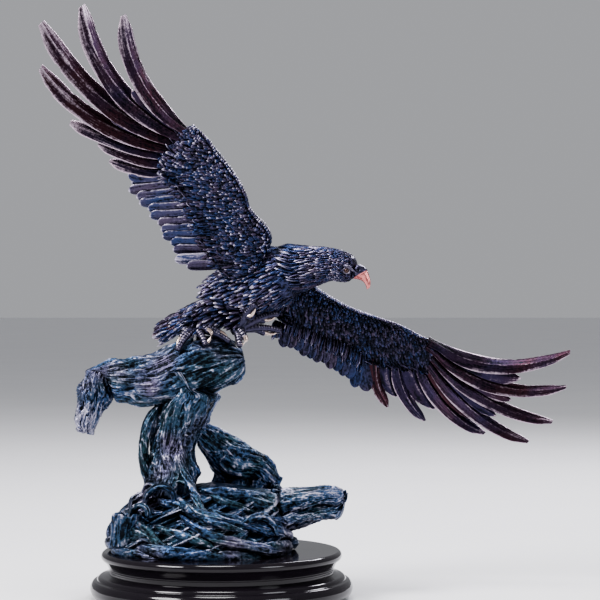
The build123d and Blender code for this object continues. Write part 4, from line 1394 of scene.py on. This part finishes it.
class STATUETTE_OT_wings(OwnPiece, bpy.types.Operator):
    """Make both wings: arms with coverts, secondaries and primaries"""

    bl_idname = "statuette.wings"
    bl_label = "Wings"

    def execute(self, context):
        settings = context.scene.plumage_settings
        for number, side in enumerate(("right", "left")):
            draw = np.random.default_rng(40 + number)
            towards, lead = WING_WAYS[side]
            arm = read_blade(f"{side}_wing_arm", towards, lead)
            build = Build()
            undercoat(build, arm.grown(-0.9 * MM), 110, 100, 7, close=(0.03, 0.03))
            for row in range(settings.covert_rows):
                # Rows run along the arm, from the trailing edge up to the leading one.
                share = row / (settings.covert_rows - 1)
                across = -0.99 + 1.9 * share
                long = np.interp(share, [0, 0.25, 1], [15, 9, 5.0]) * MM
                wide = np.interp(share, [0, 0.25, 1], [5.4, 4.6, 3.6]) * MM
                count = int(arm.length() / (wide * 0.8))
                for face in (1, -1):
                    s = (np.arange(count) + 0.5 * (row % 2)) / count
                    s = np.clip(s + draw.normal(0, 0.18, count) / count, 0.005, 0.99)
                    angle = face * np.arccos(np.clip(across + draw.normal(0, 0.02, count), -1, 1))
                    on, out = arm.at(s, angle)
                    way = -resample(arm.broad_way, s) + arm.heading(s) * (0.45 + 0.35 * s[:, None])
                    # On the left wing this rub range paints shade, darkening the coverts.
                    lay_leaves(build, "round", on - out * 0.8 * MM, out, way, long, wide, 0.13,
                               draw, rub=COVERT_RUB_AND_SHADE[side])
            build.finish(f"{side}_wing_coverts", *PLUMAGE, [f"{side}_wing_arm"])

            # A beaded ridge of short overlapping feathers along the leading edge.
            build = Build()
            count = int(arm.length() / RIDGE_PITCH)
            s = (np.arange(count) + 0.5) / count
            for turn, rub in RIDGE_ROWS:
                on, out = arm.at(s, np.full(count, turn))
                lay_leaves(build, "round", on - out * 0.6 * MM, out, arm.heading(s), 4.6 * MM,
                           3.2 * MM, 0.16, draw, rub=rub)
            build.finish(f"{side}_wing_edge", *PLUMAGE)

            self.secondaries(side, arm, towards, settings.secondaries, draw)
            self.primaries(side, arm, draw)
        return {"FINISHED"}

    def secondaries(self, side, arm, towards, count, draw):
        """The long feathers behind the arm, from the inner edge of their panel to its
        outer edge, with a row of medium coverts over their roots on both faces."""
        panel = read_blade(f"{side}_secondaries", towards, WING_WAYS[side][1], count=10,
                           ends=(0.04, 0.96))
        build, covers = Build(), Build()
        for i in range(count):
            share = (i + 0.5) / count
            inner = panel.at(np.array(share * (1 - SLANT[side])), np.array(0.0))[0]
            outer = panel.at(np.array(SLANT[side] + share * (1 - SLANT[side])),
                             np.array(np.pi))[0]
            along = panel.heading(np.array(share))
            front = unit(resample(panel.slim_way, np.array(share)))
            span = outer - inner
            root = inner - span * 0.25
            tip = outer + span * draw.uniform(-0.09, 0.06) + along * 3 * MM
            bow = (root + tip) / 2 - along * 2.5 * MM + front * draw.uniform(0.5, 1.5) * MM
            spacing = panel.length() / count
            # The right wing's second feather is rubbed pale and curls forward.
            curled = side == "right" and i == 1
            if curled:
                tip = tip + front * 4 * MM + span * 0.05
            elif i == 0:
                tip = tip - span * 0.25
            # On the left wing this rubbed value paints shade on the secondaries.
            quill(build, root, bow, tip, spacing * BREADTH[side], SECONDARY_THICK, front,
                  draw.uniform(0, 1), 60 + i, rows=90, tilt=0.4 if side == "right" else -0.4,
                  tipped=0.3 if curled else 0.1, rubbed=RUBBED_AND_SHADED[side] * (1.3 if curled else 1))
            for face in (1, -1):
                for row, reach in enumerate((0.05, -0.05, -0.15)):
                    for step in (-0.25, 0.25):
                        place = (inner + span * reach + front * face * (1.6 + row * 0.6) * MM
                                 + along * (step + 0.25 * (row % 2)) * spacing)
                        lay_leaves(covers, "lance", place[None], (front * face)[None],
                                   (span + along * 2 * MM)[None], 13 * MM, spacing * 0.5,
                                   0.05, draw)
        # One more fills the corner between the last of them and the nearest primary.
        nearest = resample(self.primary(side, PRIMARIES, arm).centres, np.array(0.75))
        # Here too the left wing's rubbed value paints shade.
        quill(build, inner, (inner + (tip + nearest) / 2) / 2, (tip + nearest) / 2,
              spacing * 1.9, SECONDARY_THICK, front, 0.6, 90, rows=90, tilt=0.1,
              tipped=0.1, rubbed=RUBBED_AND_SHADED[side])
        build.finish(f"{side}_secondary_quills", "plumage patina", "flight_feather_bronze",
                     [f"{side}_secondaries"])
        covers.finish(f"{side}_medium_coverts", *PLUMAGE)

    def primary(self, side, number, arm):
        """The blade of a primary, from its root at the arm's end to its tip."""
        node = f"{side}_primary_{number}"
        outward = cad_points(node)[0].mean(0) - arm.centres[-1]
        return read_blade(node, outward, WING_WAYS[side][1], ends=(0.02, 0.985))

    def primaries(self, side, arm, draw):
        """The fingered feathers at the wing's end, their roots run in under the wrist."""
        build = Build()
        blades = []
        for i in range(PRIMARIES):
            blade = extended(self.primary(side, i + 1, arm), 10, 1)
            fuller = np.interp(np.linspace(0, 1, len(blade.broad)), [0, 0.2, 0.6, 1],
                               FULLER[side])
            vane(build, blade.centres, blade.broad * fuller, PRIMARY_THICK, blade.broad_way,
                 blade.slim_way, draw.uniform(0, 1), columns=48, seed=i, cup=0.14,
                 tipped=TIPPED[side])
            blades.append(blade)
        # Shorter feathers behind fill the fan between each two neighbours.
        for i, (a, b) in enumerate(zip(blades, blades[1:])):
            reach = np.linspace(0, FILLED[side], 17)
            ca, cb = resample(a.centres, reach), resample(b.centres, reach)
            front = unit(resample(a.slim_way, reach) + resample(b.slim_way, reach))
            gap = np.maximum(np.linalg.norm(ca - cb, axis=1) * 0.62, 4 * MM)
            width = gap * np.interp(reach / reach[-1], [0, 0.5, 0.8, 0.94, 1],
                                    [1, 0.95, 0.62, 0.3, 0.05])
            vane(build, (ca + cb) / 2 - front * 1.6 * MM, width, FILLER_THICK, unit(ca - cb),
                 front, draw.uniform(0, 1), rows=80, columns=32, seed=20 + i, tipped=0.1)
        build.finish(f"{side}_primary_quills", *FLIGHT,
                     [f"{side}_primary_{i + 1}" for i in range(PRIMARIES)])


# ---------------------------------------------------------------- studio
# How far the table reaches, the height and the place across at which the level camera
# stands, and the point that the lights face.
TABLE_REACH = 30.0
CAMERA_ACROSS, CAMERA_HEIGHT, FILM_WIDTH = 0.072, 0.274, 36
LIGHT_AIM = np.array([0.05, 0.0, 0.25])
# Each light's name, place, diameter in metres, power in watts and colour.
LIGHTS = (
    ("window", (-1.6, -1.1, 1.7), 1.0, 70, (1.0, 0.98, 1.0)),
    ("fill", (1.7, -1.3, 1.0), 0.9, 16, (0.93, 0.95, 1.0)),
    ("rim", (0.9, 1.4, 1.6), 0.8, 34, (0.95, 0.93, 1.0)),
    ("top", (-0.1, -0.3, 1.9), 0.7, 24, (1.0, 1.0, 1.0)),
)


class STATUETTE_OT_studio(OwnPiece, bpy.types.Operator):
    """Set the table, the lights and the camera"""

    bl_idname = "statuette.studio"
    bl_label = "Studio"

    def execute(self, context):
        scene = context.scene
        mesh = bpy.data.meshes.new("table")
        corners = [(-1, -1, 0), (1, -1, 0), (1, 1, 0), (-1, 1, 0)]
        mesh.from_pydata(np.array(corners) * TABLE_REACH, [], [(0, 1, 2, 3)])
        ground = bpy.data.objects.new("table", mesh)
        scene.collection.objects.link(ground)
        n = Nodes("table cloth")
        n.paint(n.mix(n.noise(3, 2.0, 0.5), (0.8, 0.8, 0.82, 1), (0.86, 0.86, 0.87, 1)), 0.75)
        mesh.materials.append(n.material)

        world = bpy.data.worlds.new("room")
        world.use_nodes = True
        sky = world.node_tree.nodes["Background"].inputs
        sky["Color"].default_value = (0.83, 0.84, 0.88, 1)
        sky["Strength"].default_value = 0.42
        scene.world = world

        for name, place, size, power, colour in LIGHTS:
            light = bpy.data.lights.new(name, "AREA")
            light.shape = "DISK"
            light.size, light.energy, light.color = size, power, colour
            lamp = bpy.data.objects.new(name, light)
            scene.collection.objects.link(lamp)
            lamp.location = place
            lamp.rotation_mode = "QUATERNION"
            lamp.rotation_quaternion = Vector(LIGHT_AIM - place).to_track_quat("-Z", "Y")

        studio = scene.studio_settings
        camera = bpy.data.cameras.new("camera")
        camera.lens, camera.sensor_width = studio.lens, FILM_WIDTH
        camera.clip_start, camera.clip_end = 0.05, 100
        shot = bpy.data.objects.new("camera", camera)
        scene.collection.objects.link(shot)
        shot.location = (CAMERA_ACROSS, -studio.distance, CAMERA_HEIGHT)
        shot.rotation_euler = (np.pi / 2, 0, 0)
        scene.camera = shot
        scene.view_settings.view_transform = "AgX"
        scene.view_settings.look = "AgX - Medium High Contrast"
        return {"FINISHED"}


# ---------------------------------------------------------------- add-on
class STATUETTE_PT_panel(bpy.types.Panel):
    """Buttons that build each part of the statuette, and the sizes they use"""

    bl_label = "Statuette"
    bl_idname = "STATUETTE_PT_panel"
    bl_space_type = "VIEW_3D"
    bl_region_type = "UI"
    bl_category = "Statuette"

    def draw(self, context):
        for label, settings in (("Plumage", context.scene.plumage_settings),
                                ("Driftwood", context.scene.driftwood_settings),
                                ("Finishes", context.scene.finish_settings),
                                ("Studio", context.scene.studio_settings)):
            box = self.layout.box()
            box.label(text=label)
            for name in settings.__annotations__:
                box.prop(settings, name)
        for operator in OPERATORS:
            self.layout.operator(operator.bl_idname)


OPERATORS = (
    STATUETTE_OT_plinth,
    STATUETTE_OT_fixings,
    STATUETTE_OT_mound,
    STATUETTE_OT_splinters,
    STATUETTE_OT_bark_curl,
    STATUETTE_OT_limbs,
    STATUETTE_OT_body,
    STATUETTE_OT_head,
    STATUETTE_OT_beak,
    STATUETTE_OT_tail,
    STATUETTE_OT_legs,
    STATUETTE_OT_wings,
    STATUETTE_OT_studio,
)
SETTINGS = {
    "plumage_settings": PlumageSettings,
    "driftwood_settings": DriftwoodSettings,
    "finish_settings": FinishSettings,
    "studio_settings": StudioSettings,
}


def register():
    """Adds the settings, the operators and the panel."""
    for name, group in SETTINGS.items():
        bpy.utils.register_class(group)
        setattr(bpy.types.Scene, name, PointerProperty(type=group))
    for cls in (*OPERATORS, STATUETTE_PT_panel):
        bpy.utils.register_class(cls)


def unregister():
    """Takes them away again, the last first."""
    for cls in (STATUETTE_PT_panel, *reversed(OPERATORS)):
        bpy.utils.unregister_class(cls)
    for name, group in reversed(SETTINGS.items()):
        delattr(bpy.types.Scene, name)
        bpy.utils.unregister_class(group)


def main():
    """Builds every piece in order."""
    register()
    for operator in OPERATORS:
        group, name = operator.bl_idname.split(".")
        getattr(getattr(bpy.ops, group), name)()


if __name__ == "__main__":
    main()
